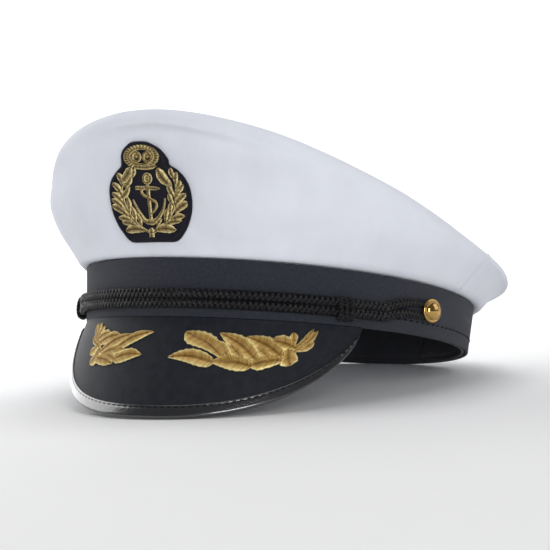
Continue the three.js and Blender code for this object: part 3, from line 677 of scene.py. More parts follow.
def peak_plate():
    """Both faces of the board, joined round its free edge by half a circle of its thickness.

    Along the band both faces run on up a little way into the seam.
    """
    along = peak_stations(220)[:, None]
    turn = np.linspace(np.pi / 2, -np.pi / 2, 8)[1:-1]
    face = np.linspace(0, 1, 36)
    down = np.concatenate([face, 0 * turn + 1, face[::-1]])[None, :]
    lift = np.concatenate([0 * face + 1, np.sin(turn), 0 * face - 1]) * PEAK_WALL / 2
    past = np.concatenate([0 * face, np.cos(turn), 0 * face]) * PEAK_NOSE
    outward = unit(peak_point(along, 1) - peak_point(along, 0.9))
    faces = peak_point(along, down) + peak_normal(along, down) * lift[:, None]
    grid = faces + outward * past[:, None]
    return np.concatenate([grid[:, :1] + PEAK_TUCK, grid, grid[:, -1:] + PEAK_TUCK], 1)


def peak_cloth():
    """Black satin-faced cloth over board: tight threads and a soft, slightly blue gloss."""
    material, tree, shader = new_material(
        "peak_satin", (0.011, 0.012, 0.016), 0.58,
        Specular_IOR_Level=0.15, Sheen_Weight=0.02, Sheen_Roughness=0.35,
    )
    uv = thread_uv(tree)
    weave = math(tree, "MULTIPLY", ribs(tree, uv, 0.35, "X", 1.0), ribs(tree, uv, 0.4, "Y", 1.0))
    tone = noise(tree, uv, 0.25, 5, 0.65)
    tint(tree, shader, tone, (0.3, (0.009, 0.0105, 0.014)), (0.75, (0.018, 0.021, 0.028)))
    bump(tree, shader, weave, 0.00004)
    return material


peak = add_piece("peak_board", [surface(peak_plate(), cap="ladder")], peak_cloth())
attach(peak, "root")
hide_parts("peak")

# ---- peak binding ----------------------------------------------------------------------
# A strip of glossy black vinyl folded over the free edge of the peak and sewn through
# near its inner edges, where the thread pulls it down.

BINDING_WALL = 0.8
BINDING_WIDTH = 5
BINDING_NOSE = 1.4
BINDING_INNER_NOSE = 0.35
BINDING_CLEAR = 0.05
BINDING_SEAM = 1.3
BINDING_PULL = 0.16
BINDING_STITCH_PITCH = 3.2
BARE_PEAK = 2.5
STITCHED_PEAK = 9


def binding_fold():
    """The vinyl's outer and inner faces as one profile folded round the peak's edge.

    Back from the edge it lies flat on each face; round the edge it is half an ellipse.
    A groove along the seam, which deepens and fades once a stitch, shows the pull of the
    thread. Where the peak is short, the fold narrows and leaves a little of it bare.
    """
    along = peak_stations(420)[:, None]
    depth = peak_depth(along)
    width = np.minimum(BINDING_WIDTH, depth - BARE_PEAK)
    run = arc_lengths(peak_point(along, 1), 0, False)[:, None]
    flat = np.linspace(1, 0, 15)
    turn = np.linspace(np.pi / 2, -np.pi / 2, 13)[1:-1]
    back = np.concatenate([flat, 0 * turn, flat[::-1]])[None, :]
    side = np.concatenate([0 * flat + 1, np.sin(turn), 0 * flat - 1])[None, :]
    nose = np.concatenate([0 * flat, np.cos(turn), 0 * flat])[None, :]
    clear = PEAK_WALL / 2 + BINDING_CLEAR
    seam = bell(back * width, width - BINDING_SEAM, 0.55) * (np.abs(side) > 0.99)
    pull = BINDING_PULL + 0.05 * np.cos(2 * np.pi * run / BINDING_STITCH_PITCH)
    edge = np.clip((1 - back) * width / 0.6, 0, 1) ** 0.5
    thick = BINDING_WALL * (0.25 + 0.75 * edge) - seam * pull
    past = unit(peak_point(along, 1) - peak_point(along, 1 - width / depth))
    down = 1 - back * width / depth
    base, normal = peak_point(along, down), peak_normal(along, down)
    outer = base + normal * ((clear + thick) * side)[..., None] + past * (BINDING_NOSE * nose)[..., None]
    inner = base + normal * (clear * side)[..., None] + past * (BINDING_INNER_NOSE * nose)[..., None]
    return np.concatenate([outer, inner[:, ::-1]], 1)


def binding_vinyl():
    """Glossy black vinyl with a slight orange peel and a faint leather grain."""
    material, tree, shader = new_material(
        "binding_vinyl", (0.008, 0.008, 0.01), 0.22,
        Specular_IOR_Level=1.0, Coat_Weight=1.0, Coat_Roughness=0.12,
    )
    bump(tree, shader, noise(tree, thread_uv(tree), 0.9, 3), 0.00012)
    return material


binding = add_piece("binding_fold", [surface(binding_fold(), cap="ladder")], binding_vinyl())
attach(binding, "root")
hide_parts("peak_binding")


def even_places(points, pitch):
    """Places from 0 to 1 along a line of points that lie one pitch apart."""
    run = arc_lengths(points[:, None], 0, False)
    marks = np.arange(pitch / 2, run[-1], pitch)
    return np.interp(marks, run, np.linspace(0, 1, len(run)))


def binding_stitch_row():
    """One stitch a pitch along the seam, on the upper face, as far as the peak is deep enough."""
    fine = peak_stations(800)
    places = even_places(peak_point(fine, 1), BINDING_STITCH_PITCH)
    along = np.interp(places, np.linspace(0, 1, len(fine)), fine)
    along = along[peak_depth(along) > STITCHED_PEAK]
    down = 1 - (BINDING_WIDTH - BINDING_SEAM) / peak_depth(along)
    normal = peak_normal(along, down)
    lift = PEAK_WALL / 2 + BINDING_WALL - STITCH_SINK
    return stitch_row(peak_point(along, down) + normal * lift, normal, length=2.1, width=0.55, height=0.25)


binding_stitches = add_piece("binding_stitches", [binding_stitch_row()], stitch_thread())
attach(binding_stitches, "root")

# ---- leaf sprigs -----------------------------------------------------------------------
# Two sprigs of leaves worked on the peak in golden satin stitch over padding. Each leaf
# is two rows of slanting threads that meet in a grooved midrib, darkened by painted shade.

SPRIG_LEAVES = {
    # from the stem (mm from the middle, mm down from the band), to the tip, full width, and
    # the shares of the length from the stem at which its lower and upper halves are widest
    "left": [
        ([40.5, 20.6], [32.4, 12.4], 4.8, (0.5, 0.5)),
        ([52, 19.4], [44.6, 12.6], 4.8, (0.5, 0.5)),
        ([27.8, 21.2], [5.3, 19.4], 7.6, (0.22, 0.42)),
        ([33.6, 18.8], [25.4, 10.6], 4.8, (0.4, 0.4)),
        ([32.6, 20.4], [11, 6.8], 8.8, (0.72, 0.42)),
        ([46.4, 19.6], [27.2, 6.8], 7.8, (0.42, 0.36)),
        ([57.4, 17.4], [39.4, 8], 7.8, (0.42, 0.34)),
        ([44.8, 22.2], [26.4, 21.2], 8.2, (0.3, 0.4)),
        ([57.6, 18.4], [43.2, 22], 8, (0.5, 0.35)),
        ([62.4, 12.6], [50, 9.2], 7, (0.45, 0.45)),
        ([60, 11.5], [59, 4.6], 3.6, (0.5, 0.5)),
        ([59, 11], [61, 20.8], 8, (0.5, 0.6)),
        ([61.5, 13.6], [69.4, 8.8], 4, (0.5, 0.5)),
        ([61.5, 12.5], [67.8, 2], 2.8, (0.5, 0.5)),
        ([61, 14.6], [69.9, 2.8], 3.4, (0.5, 0.5)),
    ],
    "right": [
        ([27, 21.4], [9.8, 18.4], 6.2, (0.3, 0.5)),
        ([27.5, 16.5], [6, 7.1], 5, (0.4, 0.5)),
        ([38.5, 17.6], [17.3, 8.3], 5, (0.4, 0.4)),
        ([36.5, 18.6], [21, 15.8], 4.8, (0.5, 0.5)),
        ([42, 13.4], [26, 8.8], 5.4, (0.5, 0.5)),
        ([35, 18.4], [23, 22.2], 3.8, (0.5, 0.5)),
        ([42, 20.8], [27.3, 22.8], 6, (0.4, 0.4)),
        ([38.4, 16], [46, 23.4], 5.4, (0.5, 0.5)),
        ([44, 11], [34.6, 7.7], 5, (0.5, 0.5)),
        ([44, 11], [41.4, 4], 3.2, (0.5, 0.5)),
        ([44.5, 11.5], [45.6, 2.1], 3.2, (0.5, 0.5)),
        ([44.5, 12], [49.6, 2.5], 3.4, (0.5, 0.5)),
        ([43, 13.5], [49.6, 9.5], 3.2, (0.5, 0.5)),
        ([42, 14], [48.8, 17.8], 4.4, (0.5, 0.5)),
    ],
}
SPRIG_STEM = {
    "left": [[26, 21], [35, 20], [44, 19.3], [52, 17.5], [58, 14.5], [61, 12.5]],
    "right": [[23, 20.6], [31, 19.6], [37, 17.6], [41, 14.8], [44, 11.5]],
}
THREAD_PITCH = 0.5
ROWS_PER_THREAD = 4


def smooth_path(points, step):
    """Points a step apart on a curve through the given ones: a Catmull-Rom cubic in each span."""
    p = np.asarray(points, float)
    p = np.concatenate([2 * p[:1] - p[1:2], p, 2 * p[-1:] - p[-2:-1]])
    t = np.linspace(0, len(points) - 1, 40 * len(points))
    i = np.minimum(t.astype(int), len(points) - 2)
    f = (t - i)[:, None]
    a, b, c, d = (p[i + k] for k in range(4))
    curve = b + f / 2 * ((c - a) + f * (2 * a - 5 * b + 4 * c - d + f * (3 * (b - c) + d - a)))
    run = arc_lengths(curve[:, None], 0, False)
    places = np.linspace(0, run[-1], max(int(run[-1] / step), 3))
    return np.stack([np.interp(places, run, column) for column in curve.T], -1)


def satin(path, half, height, edge=0.25, slant=0.0, groove=0.0, sink=0.35):
    """Satin stitch along a flat path: grid[row, column] of (x, y, height), and its UV map.

    Across it, v from -1 to 1, the height is edge + (h - edge)(1 - v^2)^0.5, less the groove
    along the middle, and with a ripple for each thread; it sinks where the path is under
    two fifths of its full width. Rows lean forward by slant * half * |v|. half is one width
    a row, or two where the sides differ, v < 0 first. The underside lies sink below the
    cloth's face. In the UV map u counts threads, and v runs from 0 on one edge to 1 on the
    other.
    """
    rows = len(path)
    half = half.reshape(rows, -1)
    ahead = unit(np.gradient(path, axis=0))
    side = np.stack([-ahead[:, 1], ahead[:, 0]], -1)
    face = np.sin(np.linspace(-np.pi / 2, np.pi / 2, 19))
    v = np.concatenate([face, face[::-6][1:-1]])
    on_top = np.arange(len(v)) < len(face)
    wide = np.where(v < 0, half[:, :1], half[:, -1:])
    lean = slant * wide * np.abs(v)
    thread = np.arange(rows) / ROWS_PER_THREAD
    ripple = 0.06 * np.cos(2 * np.pi * thread)[:, None] * (1 - v**2) ** 0.3
    fray = 1 + 0.05 * np.sin(2 * np.pi * thread)[:, None]
    arch = np.sqrt(np.clip(1 - v**2, 0, 1))
    swell = edge + (height - edge) * arch - groove * bell(v, 0, 0.16)
    lift = np.where(on_top, (swell + ripple) * np.minimum(wide / half.max() * 2.5, 1), -sink)
    aside = side[:, None] * (wide * v * fray)[..., None]
    flat = path[:, None] + ahead[:, None] * lean[..., None] + aside
    across = np.append((v + 1) / 2, 0.0)
    uv = np.stack(np.broadcast_arrays(thread[:, None], across[None, :]), -1)
    return np.concatenate([flat, lift[..., None]], -1), uv


def leaf(base, tip, width, height=1.1, bend=0.06, widest=0.42):
    """A leaf from base to tip along a slightly bent rib.

    Half width w/2 (0.06 + 0.94 sin(pi s^k)^p), with k such that the sine is 1 at the
    widest place, p 0.5 before it and 0.95 past it, and a low wave of 3 mm along the edges.
    The widest place may differ on the two sides, v < 0 first.
    """
    base, tip = np.asarray(base, float), np.asarray(tip, float)
    axis = tip - base
    middle = (base + tip) / 2 + bend * np.array([-axis[1], axis[0]])
    path = smooth_path([base, middle, tip], THREAD_PITCH / ROWS_PER_THREAD)
    share = np.linspace(0, 1, len(path))[:, None]
    widest = np.broadcast_to(widest, 2)
    halfway = share ** (np.log(0.5) / np.log(widest))
    swell = np.sin(np.pi * halfway) ** np.where(share > widest, 0.95, 0.5)
    wave = 1 + 0.04 * np.sin(2 * np.pi * share * np.linalg.norm(axis) / 3)
    return satin(path, width / 2 * (0.06 + 0.94 * swell) * wave, height, slant=0.55, groove=0.45)


def stem(points, width, height=0.75):
    """A stem of even width, tapered over its last part."""
    path = smooth_path(points, THREAD_PITCH / ROWS_PER_THREAD)
    share = np.linspace(0, 1, len(path))
    return satin(path, width / 2 * np.minimum(1, 0.3 + 4 * (1 - share)), height, edge=0.2)


def embroidered(parts, place):
    """Closed surfaces of flat satin parts, each bent onto the cloth by place."""
    return [surface(place(flat), uv=uv) for flat, uv in parts]


def sprig_parts(side, label):
    """All leaves and the stem of one sprig, on the wearer's left (side 1) or right (side -1)."""
    turn = np.array([side, 1])
    leaves = [
        leaf(turn * base, turn * tip, width, bend=0.06 * side, widest=widest[::side])
        for base, tip, width, widest in SPRIG_LEAVES[label]
    ]
    return leaves + [stem(turn * SPRIG_STEM[label], width=1.8)]


def satin_thread(name, painted_shade_color, middle, painted_highlight_color, roughness, metallic):
    """Shiny thread: each thread has its own tone, with painted highlight on its crest and on the leaf's
    edges, and painted shade along its midrib groove.
    """
    material, tree, shader = new_material(name, middle, roughness, Metallic=metallic)
    uv = make_node(tree, "ShaderNodeSeparateXYZ", {"Vector": thread_uv(tree)})
    thread, place = uv.outputs["X"], uv.outputs["Y"]
    number = {"W": math(tree, "FLOOR", thread)}
    own = make_node(tree, "ShaderNodeTexWhiteNoise", number, noise_dimensions="1D").outputs["Value"]
    across = math(tree, "ABSOLUTE", math(tree, "MULTIPLY_ADD", place, 2, -1))
    wave = math(tree, "COSINE", math(tree, "MULTIPLY", thread, 2 * np.pi))
    # The thread's crest is painted lighter, a painted highlight over the geometric ripple; the same wave
    # also feeds the bump.
    crest = math(tree, "MULTIPLY", wave, 0.1)
    tone = math(tree, "MULTIPLY_ADD", own, 0.24, crest)
    # Painted shade darkens the midrib groove, and painted highlight lightens the colour toward the leaf's
    # edges.
    from_rib = {"Value": across, "From Max": 0.3, "To Min": 0.02, "To Max": 0.27}
    rib = make_node(tree, "ShaderNodeMapRange", from_rib).outputs["Result"]
    rim = math(tree, "MULTIPLY_ADD", math(tree, "POWER", across, 3), 0.56, rib)
    tint(tree, shader, math(tree, "ADD", tone, rim), (0.08, painted_shade_color), (0.42, middle), (0.86, painted_highlight_color))
    bump(tree, shader, math(tree, "ADD", crest, own), 0.0001)
    return material


# The dark colour is painted shade for the midribs, the light colour painted highlight for the leaves'
# edges.
sprig_thread = satin_thread(
    "sprig_thread", (0.12, 0.05, 0.008), (0.4, 0.225, 0.034), (1.0, 0.85, 0.4), 0.4, 0.3
)
for side, label in ((-1, "right"), (1, "left")):
    sprig = add_piece(f"sprig_{label}", embroidered(sprig_parts(side, label), on_peak), sprig_thread)
    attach(sprig, "root")
    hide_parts(f"leaf_sprig_{label}")

# ---- chin cord -------------------------------------------------------------------------
# One black rayon cord, laid double across the front of the band, so it shows as two rows.
# It is plaited from four soft strands, two winding to the left and two to the right.

CORD_HALF_HEIGHT = 2.3
CORD_HALF_DEPTH = 1.6
CORD_LOW = 6.15
CORD_HIGH = 10.25
CORD_END_ANGLE = 68
CORD_STAND = 1.65
KNOT_ANGLE = 55
PLAIT_PITCH = 2.2
STRAND_RISE = 0.68
STRAND_REACH = 0.5
STRAND_WIDE = 0.33
STRAND_THICK = 0.3
STRAND_SIDES = 10
YARNS = 4
YARN_PITCH = 2.6


def strand(path, radial, wide, thick):
    """One strand along a path: its section is an oval with yarns laid side by side round it.

    Offset across the path r (thick cos c, wide sin c), where r = 1 + 0.07 cos(yarns c +
    2 pi s / yarn pitch), so the yarns wind slowly round the strand.
    """
    tangent = unit(np.gradient(path, axis=0))
    out = unit(radial - tangent * np.sum(radial * tangent, -1, keepdims=True))
    other = np.cross(tangent, out)
    run = arc_lengths(path[:, None], 0, False)[:, None]
    c = np.linspace(0, 2 * np.pi, STRAND_SIDES, endpoint=False)[None, :]
    r = 1 + 0.07 * np.cos(YARNS * c + 2 * np.pi * run / YARN_PITCH)
    outward = out[:, None] * (thick * r * np.cos(c))[..., None]
    sideways = other[:, None] * (wide * r * np.sin(c))[..., None]
    return surface(path[:, None] + (outward + sideways))


def plait(line, out, up, half_height, half_depth):
    """Four strands plaited round a line, two each way, at angles t = 45 +- 360 s / pitch (+ 180).

    Each lies at up H cos t + out D sin t, times 1 +- 0.25 cos(720 s / pitch), so that it
    goes over one strand of the other hand and under the next. H and D are the rise and
    reach of the strands, and the pitch is in half heights.
    """
    half_height = np.broadcast_to(half_height, len(line))
    run = arc_lengths(line[:, None], 0, False)
    pitch = PLAIT_PITCH * (half_height[1:] + half_height[:-1]) / 2
    turns = np.concatenate([[0], np.cumsum(np.diff(run) / pitch)])
    strands = []
    for hand in (1, -1):
        for start in (0.25, 1.25):
            t = np.pi * start + hand * 2 * np.pi * turns
            over = 1 + hand * 0.25 * np.cos(4 * np.pi * turns)
            tall = up * (half_height * STRAND_RISE * over * np.cos(t))[:, None]
            deep = out * (half_depth * STRAND_REACH * over * np.sin(t))[:, None]
            wide, thick = half_height[:, None] * STRAND_WIDE, half_height[:, None] * STRAND_THICK
            strands.append(strand(line + tall + deep, tall + deep, wide, thick))
    return strands


def cord_line(angle, height):
    """Middle of the cord on the face of the band, with its outward and upward directions.

    It stands off the band, and 0.5 mm more where a knot passes behind it.
    """
    up = rim_height(angle) + height
    swell = 0.5 * bell(np.abs(angle), KNOT_ANGLE, 6)
    centre = rim_point(angle, band_out(angle, up) + CORD_STAND + swell, up)
    out = rim_normal(angle)
    return centre, out, np.broadcast_to([0.0, 0, 1], out.shape)


def cord_row(height):
    """One of the two rows of cord across the front."""
    angle = np.linspace(-CORD_END_ANGLE, CORD_END_ANGLE, 900)
    centre, out, up = cord_line(angle, height)
    return plait(centre, out, up, CORD_HALF_HEIGHT, CORD_HALF_DEPTH)


def cord_rayon():
    """Black rayon: fine slanting yarns with a soft sheen on their crowns, partly real gloss and partly a
    painted highlight in the colour.
    """
    material, tree, shader = new_material(
        "cord_rayon", (0.004, 0.004, 0.005), 0.34, Specular_IOR_Level=0.4
    )
    uv = thread_uv(tree)
    slant = make_node(tree, "ShaderNodeMapping", {"Vector": uv, "Rotation": (0, 0, np.radians(20))})
    yarn = ribs(tree, slant.outputs["Vector"], 0.4, "Y", 0.5)
    # Painted highlight: the colour is lighter on the yarns' crowns and darker in the valleys between them.
    tint(tree, shader, yarn, (0.35, (0.0015, 0.0015, 0.002)), (1.0, (0.009, 0.009, 0.012)))
    bump(tree, shader, yarn, 0.00015)
    return material


cord_material = cord_rayon()
for label, height in (("upper", CORD_HIGH), ("lower", CORD_LOW)):
    row = add_piece(f"chin_cord_{label}", cord_row(height), cord_material)
    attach(row, "root")
    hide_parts(f"cord_{label}")

# ---- slide knots -----------------------------------------------------------------------
# On each side the cord's own end is wound round both rows and drawn tight, which keeps
# them together and lets the cord be let out over the peak.

KNOT_TURNS = 2.5
KNOT_WRAP = 1.4
KNOT_STATIONS = 275
KNOT_TALL = (CORD_HIGH - CORD_LOW) / 2 + CORD_HALF_HEIGHT + GAP
KNOT_DEEP = 2.0
KNOT_CORD_DEEP = 1.15
KNOT_OUT = 0.3
KNOT_SAG = 0.7


def knot(side):
    """Turns of cord round the rows: a helix on a rounded oblong, closed up wrap by wrap.

    Height h |cos t|^0.75 and depth d |sin t|^0.75, each with its sign, advancing one wrap a turn.
    """
    t = np.linspace(0, 2 * np.pi * KNOT_TURNS, KNOT_STATIONS)
    low, out, up = (row[0] for row in cord_line(np.array([side * KNOT_ANGLE]), CORD_LOW))
    high = cord_line(np.array([side * KNOT_ANGLE]), CORD_HIGH)[0][0]
    centre = (low + high) / 2 + out * KNOT_OUT - up * KNOT_SAG
    along = unit(np.cross(up, out))
    tall = np.sign(np.cos(t)) * np.abs(np.cos(t)) ** 0.75 * KNOT_TALL
    deep = np.sign(np.sin(t)) * np.abs(np.sin(t)) ** 0.75 * KNOT_DEEP
    forward = (t / (2 * np.pi) - KNOT_TURNS / 2) * 2 * KNOT_WRAP
    radial = up * tall[:, None] + out * deep[:, None]
    path = centre + radial + along * forward[:, None]
    across = np.broadcast_to(along, path.shape)
    return plait(path, unit(radial), across, KNOT_WRAP, KNOT_CORD_DEEP)


for side, label in ((-1, "right"), (1, "left")):
    wound = add_piece(f"slide_knot_{label}", knot(side), cord_material)
    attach(wound, "root")
    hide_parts(f"cord_knot_{label}")

# ---- cord ends -------------------------------------------------------------------------
# Past the knots the rows spread and turn round the shank of a button on each side, the
# upper row coming back as the lower one, pulled thin where it bends.

LOOP_RADIUS = 1.2
LOOP_BEND = 3.2
LOOP_HALF_HEIGHT = 1.6
LOOP_HALF_DEPTH = 1.3
BUTTON_ANGLE = 83.6
BUTTON_UP = 12
CORD_END_ROUTE = [
    # degrees past the row's end, and height of the upper and lower stretch over the button
    (4, 0.9, -3.7),
    (9, 2.5, -2.7),
]


def cord_end(side):
    """The plait from the upper row round half a circle at the button and back to the lower row."""
    middle = rim_height(BUTTON_ANGLE) + BUTTON_UP
    across = RIM_HALF_WIDTH * np.cos(np.radians(BUTTON_ANGLE))
    degree = np.radians(1) * np.hypot(across, RIM_HALF_LENGTH)
    start = CORD_END_ANGLE - 0.6
    turn = np.radians(np.linspace(90, -90, 7))
    past, upper, lower = np.array(CORD_END_ROUTE).T
    stretch = np.append(start, start + past)
    angle = np.concatenate([stretch, BUTTON_ANGLE + LOOP_BEND * np.cos(turn) / degree, stretch[::-1]])
    up = np.concatenate([
        [rim_height(start) + CORD_HIGH],
        middle + upper,
        middle + LOOP_BEND * np.sin(turn),
        middle + lower[::-1],
        [rim_height(start) + CORD_LOW],
    ])
    points = rim_point(side * angle, band_out(angle, up) + GAP + LOOP_RADIUS, up)
    path = smooth_path(points, 0.25)
    outward = unit(path * [1 / RIM_HALF_WIDTH**2, 1 / RIM_HALF_LENGTH**2, 0])
    over = unit(np.cross(outward, np.gradient(path, axis=0)))
    share = np.linspace(-1, 1, len(path))
    thin = LOOP_HALF_HEIGHT + (CORD_HALF_HEIGHT - LOOP_HALF_HEIGHT) * np.abs(share) ** 0.8
    return plait(path, outward, over, thin, LOOP_HALF_DEPTH)


for side, label in ((-1, "right"), (1, "left")):
    end = add_piece(f"cord_end_{label}", cord_end(side), cord_material)
    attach(end, "root")
    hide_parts(f"cord_loop_{label}")

# ---- buttons ---------------------------------------------------------------------------
# Domed gilt buttons, 11 mm across, stamped from sheet brass with a rolled rim, and sewn
# through the band by a shank over the cord's end, whose pull leans them a little forward.

BUTTON_BACK = 2 * LOOP_RADIUS + 2 * GAP
BUTTON_LEAN = 12
BUTTON_PROFILE = [
    # radius and height over the band, from the shank round the rim to the top of the dome
    [1.4, 0.1],
    [1.4, BUTTON_BACK],
    [4.6, BUTTON_BACK],
    [5.3, BUTTON_BACK + 0.25],
    [5.6, BUTTON_BACK + 0.8],
    [5.35, BUTTON_BACK + 1.35],
    [4.85, BUTTON_BACK + 1.5],
    [4.5, BUTTON_BACK + 1.38],
    [4.3, BUTTON_BACK + 1.75],
    [3.6, BUTTON_BACK + 2.55],
    [2.5, BUTTON_BACK + 3.15],
    [1.2, BUTTON_BACK + 3.45],
    [0.05, BUTTON_BACK + 3.52],
]


def button(side):
    """The profile turned round the button's axis: centre + r (across cos c + up sin c) + h outward."""
    profile = smooth_path(BUTTON_PROFILE, 0.16)
    seat = rim_height(BUTTON_ANGLE) + BUTTON_UP
    centre = rim_point(side * BUTTON_ANGLE, band_out(BUTTON_ANGLE, seat), seat)
    out = rim_normal(side * (BUTTON_ANGLE - BUTTON_LEAN))
    up = np.array([0.0, 0, 1])
    across = np.cross(up, out)
    c = np.linspace(0, 2 * np.pi, 72, endpoint=False)[None, :, None]
    radius, height = profile[:, 0, None, None], profile[:, 1, None, None]
    return surface(centre + radius * (across * np.cos(c) + up * np.sin(c)) + out * height)


def gilt():
    """Polished gilt brass with faint wear where it is handled."""
    material, tree, shader = new_material("gilt_brass", (0.55, 0.34, 0.11), 0.1, Metallic=1.0)
    where = make_node(tree, "ShaderNodeTexCoord").outputs["Object"]
    wear = noise(tree, where, 900, 4)
    limits = {"Value": wear, "From Min": 0.3, "To Min": 0.06, "To Max": 0.16}
    rough = make_node(tree, "ShaderNodeMapRange", limits).outputs["Result"]
    tree.links.new(rough, shader.inputs["Roughness"])
    tint(tree, shader, wear, (0.3, (0.46, 0.27, 0.08)), (0.7, (0.62, 0.41, 0.15)))
    return material


gilt_material = gilt()
for side, label in ((-1, "right"), (1, "left")):
    stud = add_piece(f"gilt_button_{label}", [button(side)], gilt_material)
    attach(stud, "root")
    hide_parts(f"button_{label}")

# ---- badge patch -----------------------------------------------------------------------
# A patch of navy-black felt sewn to the leaning front of the crown, its edge bound by a
# thick raised border of black thread.

PANEL_SIDE = 30
PANEL_BELOW = 4
PANEL_ABOVE = 53
PANEL_RISE = 0.955
PANEL_OUT = 10
PATCH_THICKNESS = 1.4
PATCH_FOOT = 33
PATCH_SIDE = 1.4
PATCH_TILT = 0.045
PATCH_LEAN = 1.5
PATCH_LEAN_UP = 48
PATCH_BACK = 0.02
PATCH_BORDER = 2.1
PATCH_BORDER_RISE = 0.55
PATCH_EDGE_FALL = 0.9
PATCH_FIELD = PATCH_THICKNESS - 0.15
PATCH_OUTLINE = [
    # height over the lower edge, and how far out the edge lies on the wearer's left and right
    [0, 5, 6], [0.1, 10.4, 12.6], [1.1, 13, 15.2], [3.8, 15.6, 17.8], [8.3, 18.8, 20.6],
    [13.8, 21.2, 22], [19.3, 22, 22], [24.8, 21.4, 21.2], [29.4, 19.3, 19.2], [33, 16, 16],
    [35.4, 12.4, 13.2], [37.6, 12, 12.8], [40.3, 10.4, 12.6], [43, 8, 11.4], [45.2, 4.6, 9],
    [46.8, 0.6, 6],
]


def panel_table():
    """Points of the crown's front panel on a 1 mm grid, side by height, found on its sections.

    Each section is moved along its own normal by the cloth's relief. Its height grows
    steadily with the place, so the distance out at a height is read off by linear
    interpolation between 400 samples.
    """
    side = np.arange(-PANEL_SIDE, PANEL_SIDE + 1.0)
    height = PATCH_FOOT + np.arange(-PANEL_BELOW, PANEL_ABOVE + 1.0) * PANEL_RISE
    angle = np.degrees(np.arcsin(side / (RIM_HALF_WIDTH + PANEL_OUT)))
    place = np.linspace(0, 0.6, 400)[None, :]
    samples = crown_section(angle[:, None], place)
    slope = unit(np.gradient(samples, axis=1))
    relief = crown_relief(angle[:, None], place)
    out = samples[..., 0] + slope[..., 1] * relief
    up = samples[..., 1] - slope[..., 0] * relief
    found = np.array([np.interp(height, *row) for row in zip(up, out)])
    return rim_point(angle[:, None], found, height[None, :])


PANEL = panel_table()
PANEL_NORMAL = unit(np.cross(np.gradient(PANEL, axis=0), np.gradient(PANEL, axis=1)))


def on_panel(flat):
    """Bends flat points (mm to the side, mm up, mm off the cloth) onto the front panel.

    Bilinear in the panel's table: both the point and its normal blend over each 1 mm cell.
    Near its top the patch leans over to the wearer's right, by a bell of its height.
    """
    x, y, height = np.moveaxis(flat, -1, 0)
    x = x - PATCH_LEAN * bell(y, PATCH_LEAN_UP, 13) + PANEL_SIDE
    y = y + PANEL_BELOW
    i = np.clip(x.astype(int), 0, PANEL.shape[0] - 2)
    j = np.clip(y.astype(int), 0, PANEL.shape[1] - 2)
    f, g = (x - i)[..., None], (y - j)[..., None]
    point, normal = (
        (table[i, j] * (1 - f) + table[i + 1, j] * f) * (1 - g)
        + (table[i, j + 1] * (1 - f) + table[i + 1, j + 1] * f) * g
        for table in (PANEL, PANEL_NORMAL)
    )
    return point + unit(normal) * height[..., None]


def badge_side(up):
    """The badge's middle line leans back to the cap's middle as it rises."""
    return PATCH_SIDE - PATCH_TILT * up


def patch_rings():
    """Rings from the back's middle out to the edge and in again over the border to the middle.

    Each ring is the outline moved inward by a distance along its normal, or past the border
    scaled to the middle; the border is half an ellipse and the field inside it is flat.
    """
    up, to_left, to_right = np.array(PATCH_OUTLINE, float).T
    left = np.stack([badge_side(up) + to_left, up], -1)
    right = np.stack([badge_side(up) - to_right, up], -1)
    outline = smooth_path(np.concatenate([left, right[::-1], left[:1]]), 0.42)[:-1]
    ahead = unit(np.roll(outline, -1, 0) - np.roll(outline, 1, 0))
    inward = np.stack([-ahead[:, 1], ahead[:, 0]], -1)
    middle = outline.mean(0)
    turn = np.linspace(0, np.pi, 14)
    border_in = PATCH_BORDER / 2 * (1 - np.cos(turn))
    fall = PATCH_EDGE_FALL * np.clip(1 - turn / 1.2, 0, 1) ** 2
    border_up = PATCH_THICKNESS + PATCH_BORDER_RISE * np.sin(turn) - fall
    inner = outline + inward * PATCH_BORDER
    rings = [(middle + (outline - middle) * 0.05, PATCH_BACK), (outline + inward * 0.3, PATCH_BACK)]
    rings += [(outline + inward * inset, rise) for inset, rise in zip(border_in, border_up)]
    rings += [(middle + (inner - middle) * share, PATCH_FIELD) for share in np.linspace(0.97, 0.04, 20)]
    flat = np.stack([np.column_stack([line, np.full(len(line), rise)]) for line, rise in rings])
    wrapped = np.concatenate([flat, flat[:, :1]], 1)
    return surface(on_panel(flat), uv=wrapped[..., :2])


def badge_felt():
    """Navy-black felt: short matted fibres, no gloss."""
    material, tree, shader = new_material(
        "badge_felt", (0.006, 0.006, 0.012), 0.9,
        Specular_IOR_Level=0.15, Sheen_Weight=0.05, Sheen_Roughness=0.6,
    )
    fibre = noise(tree, thread_uv(tree), 3, 6, 0.75)
    tint(tree, shader, fibre, (0.35, (0.003, 0.003, 0.006)), (0.7, (0.012, 0.012, 0.024)))
    bump(tree, shader, fibre, 0.0003)
    return material


patch = add_piece("badge_felt_patch", [patch_rings()], badge_felt())
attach(patch, "root")
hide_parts("badge_patch")

# ---- badge wreath ----------------------------------------------------------------------
# Two branches of laurel in antique gold thread, worked over padding on the felt, crossed
# under the anchor and bound by a short tie.

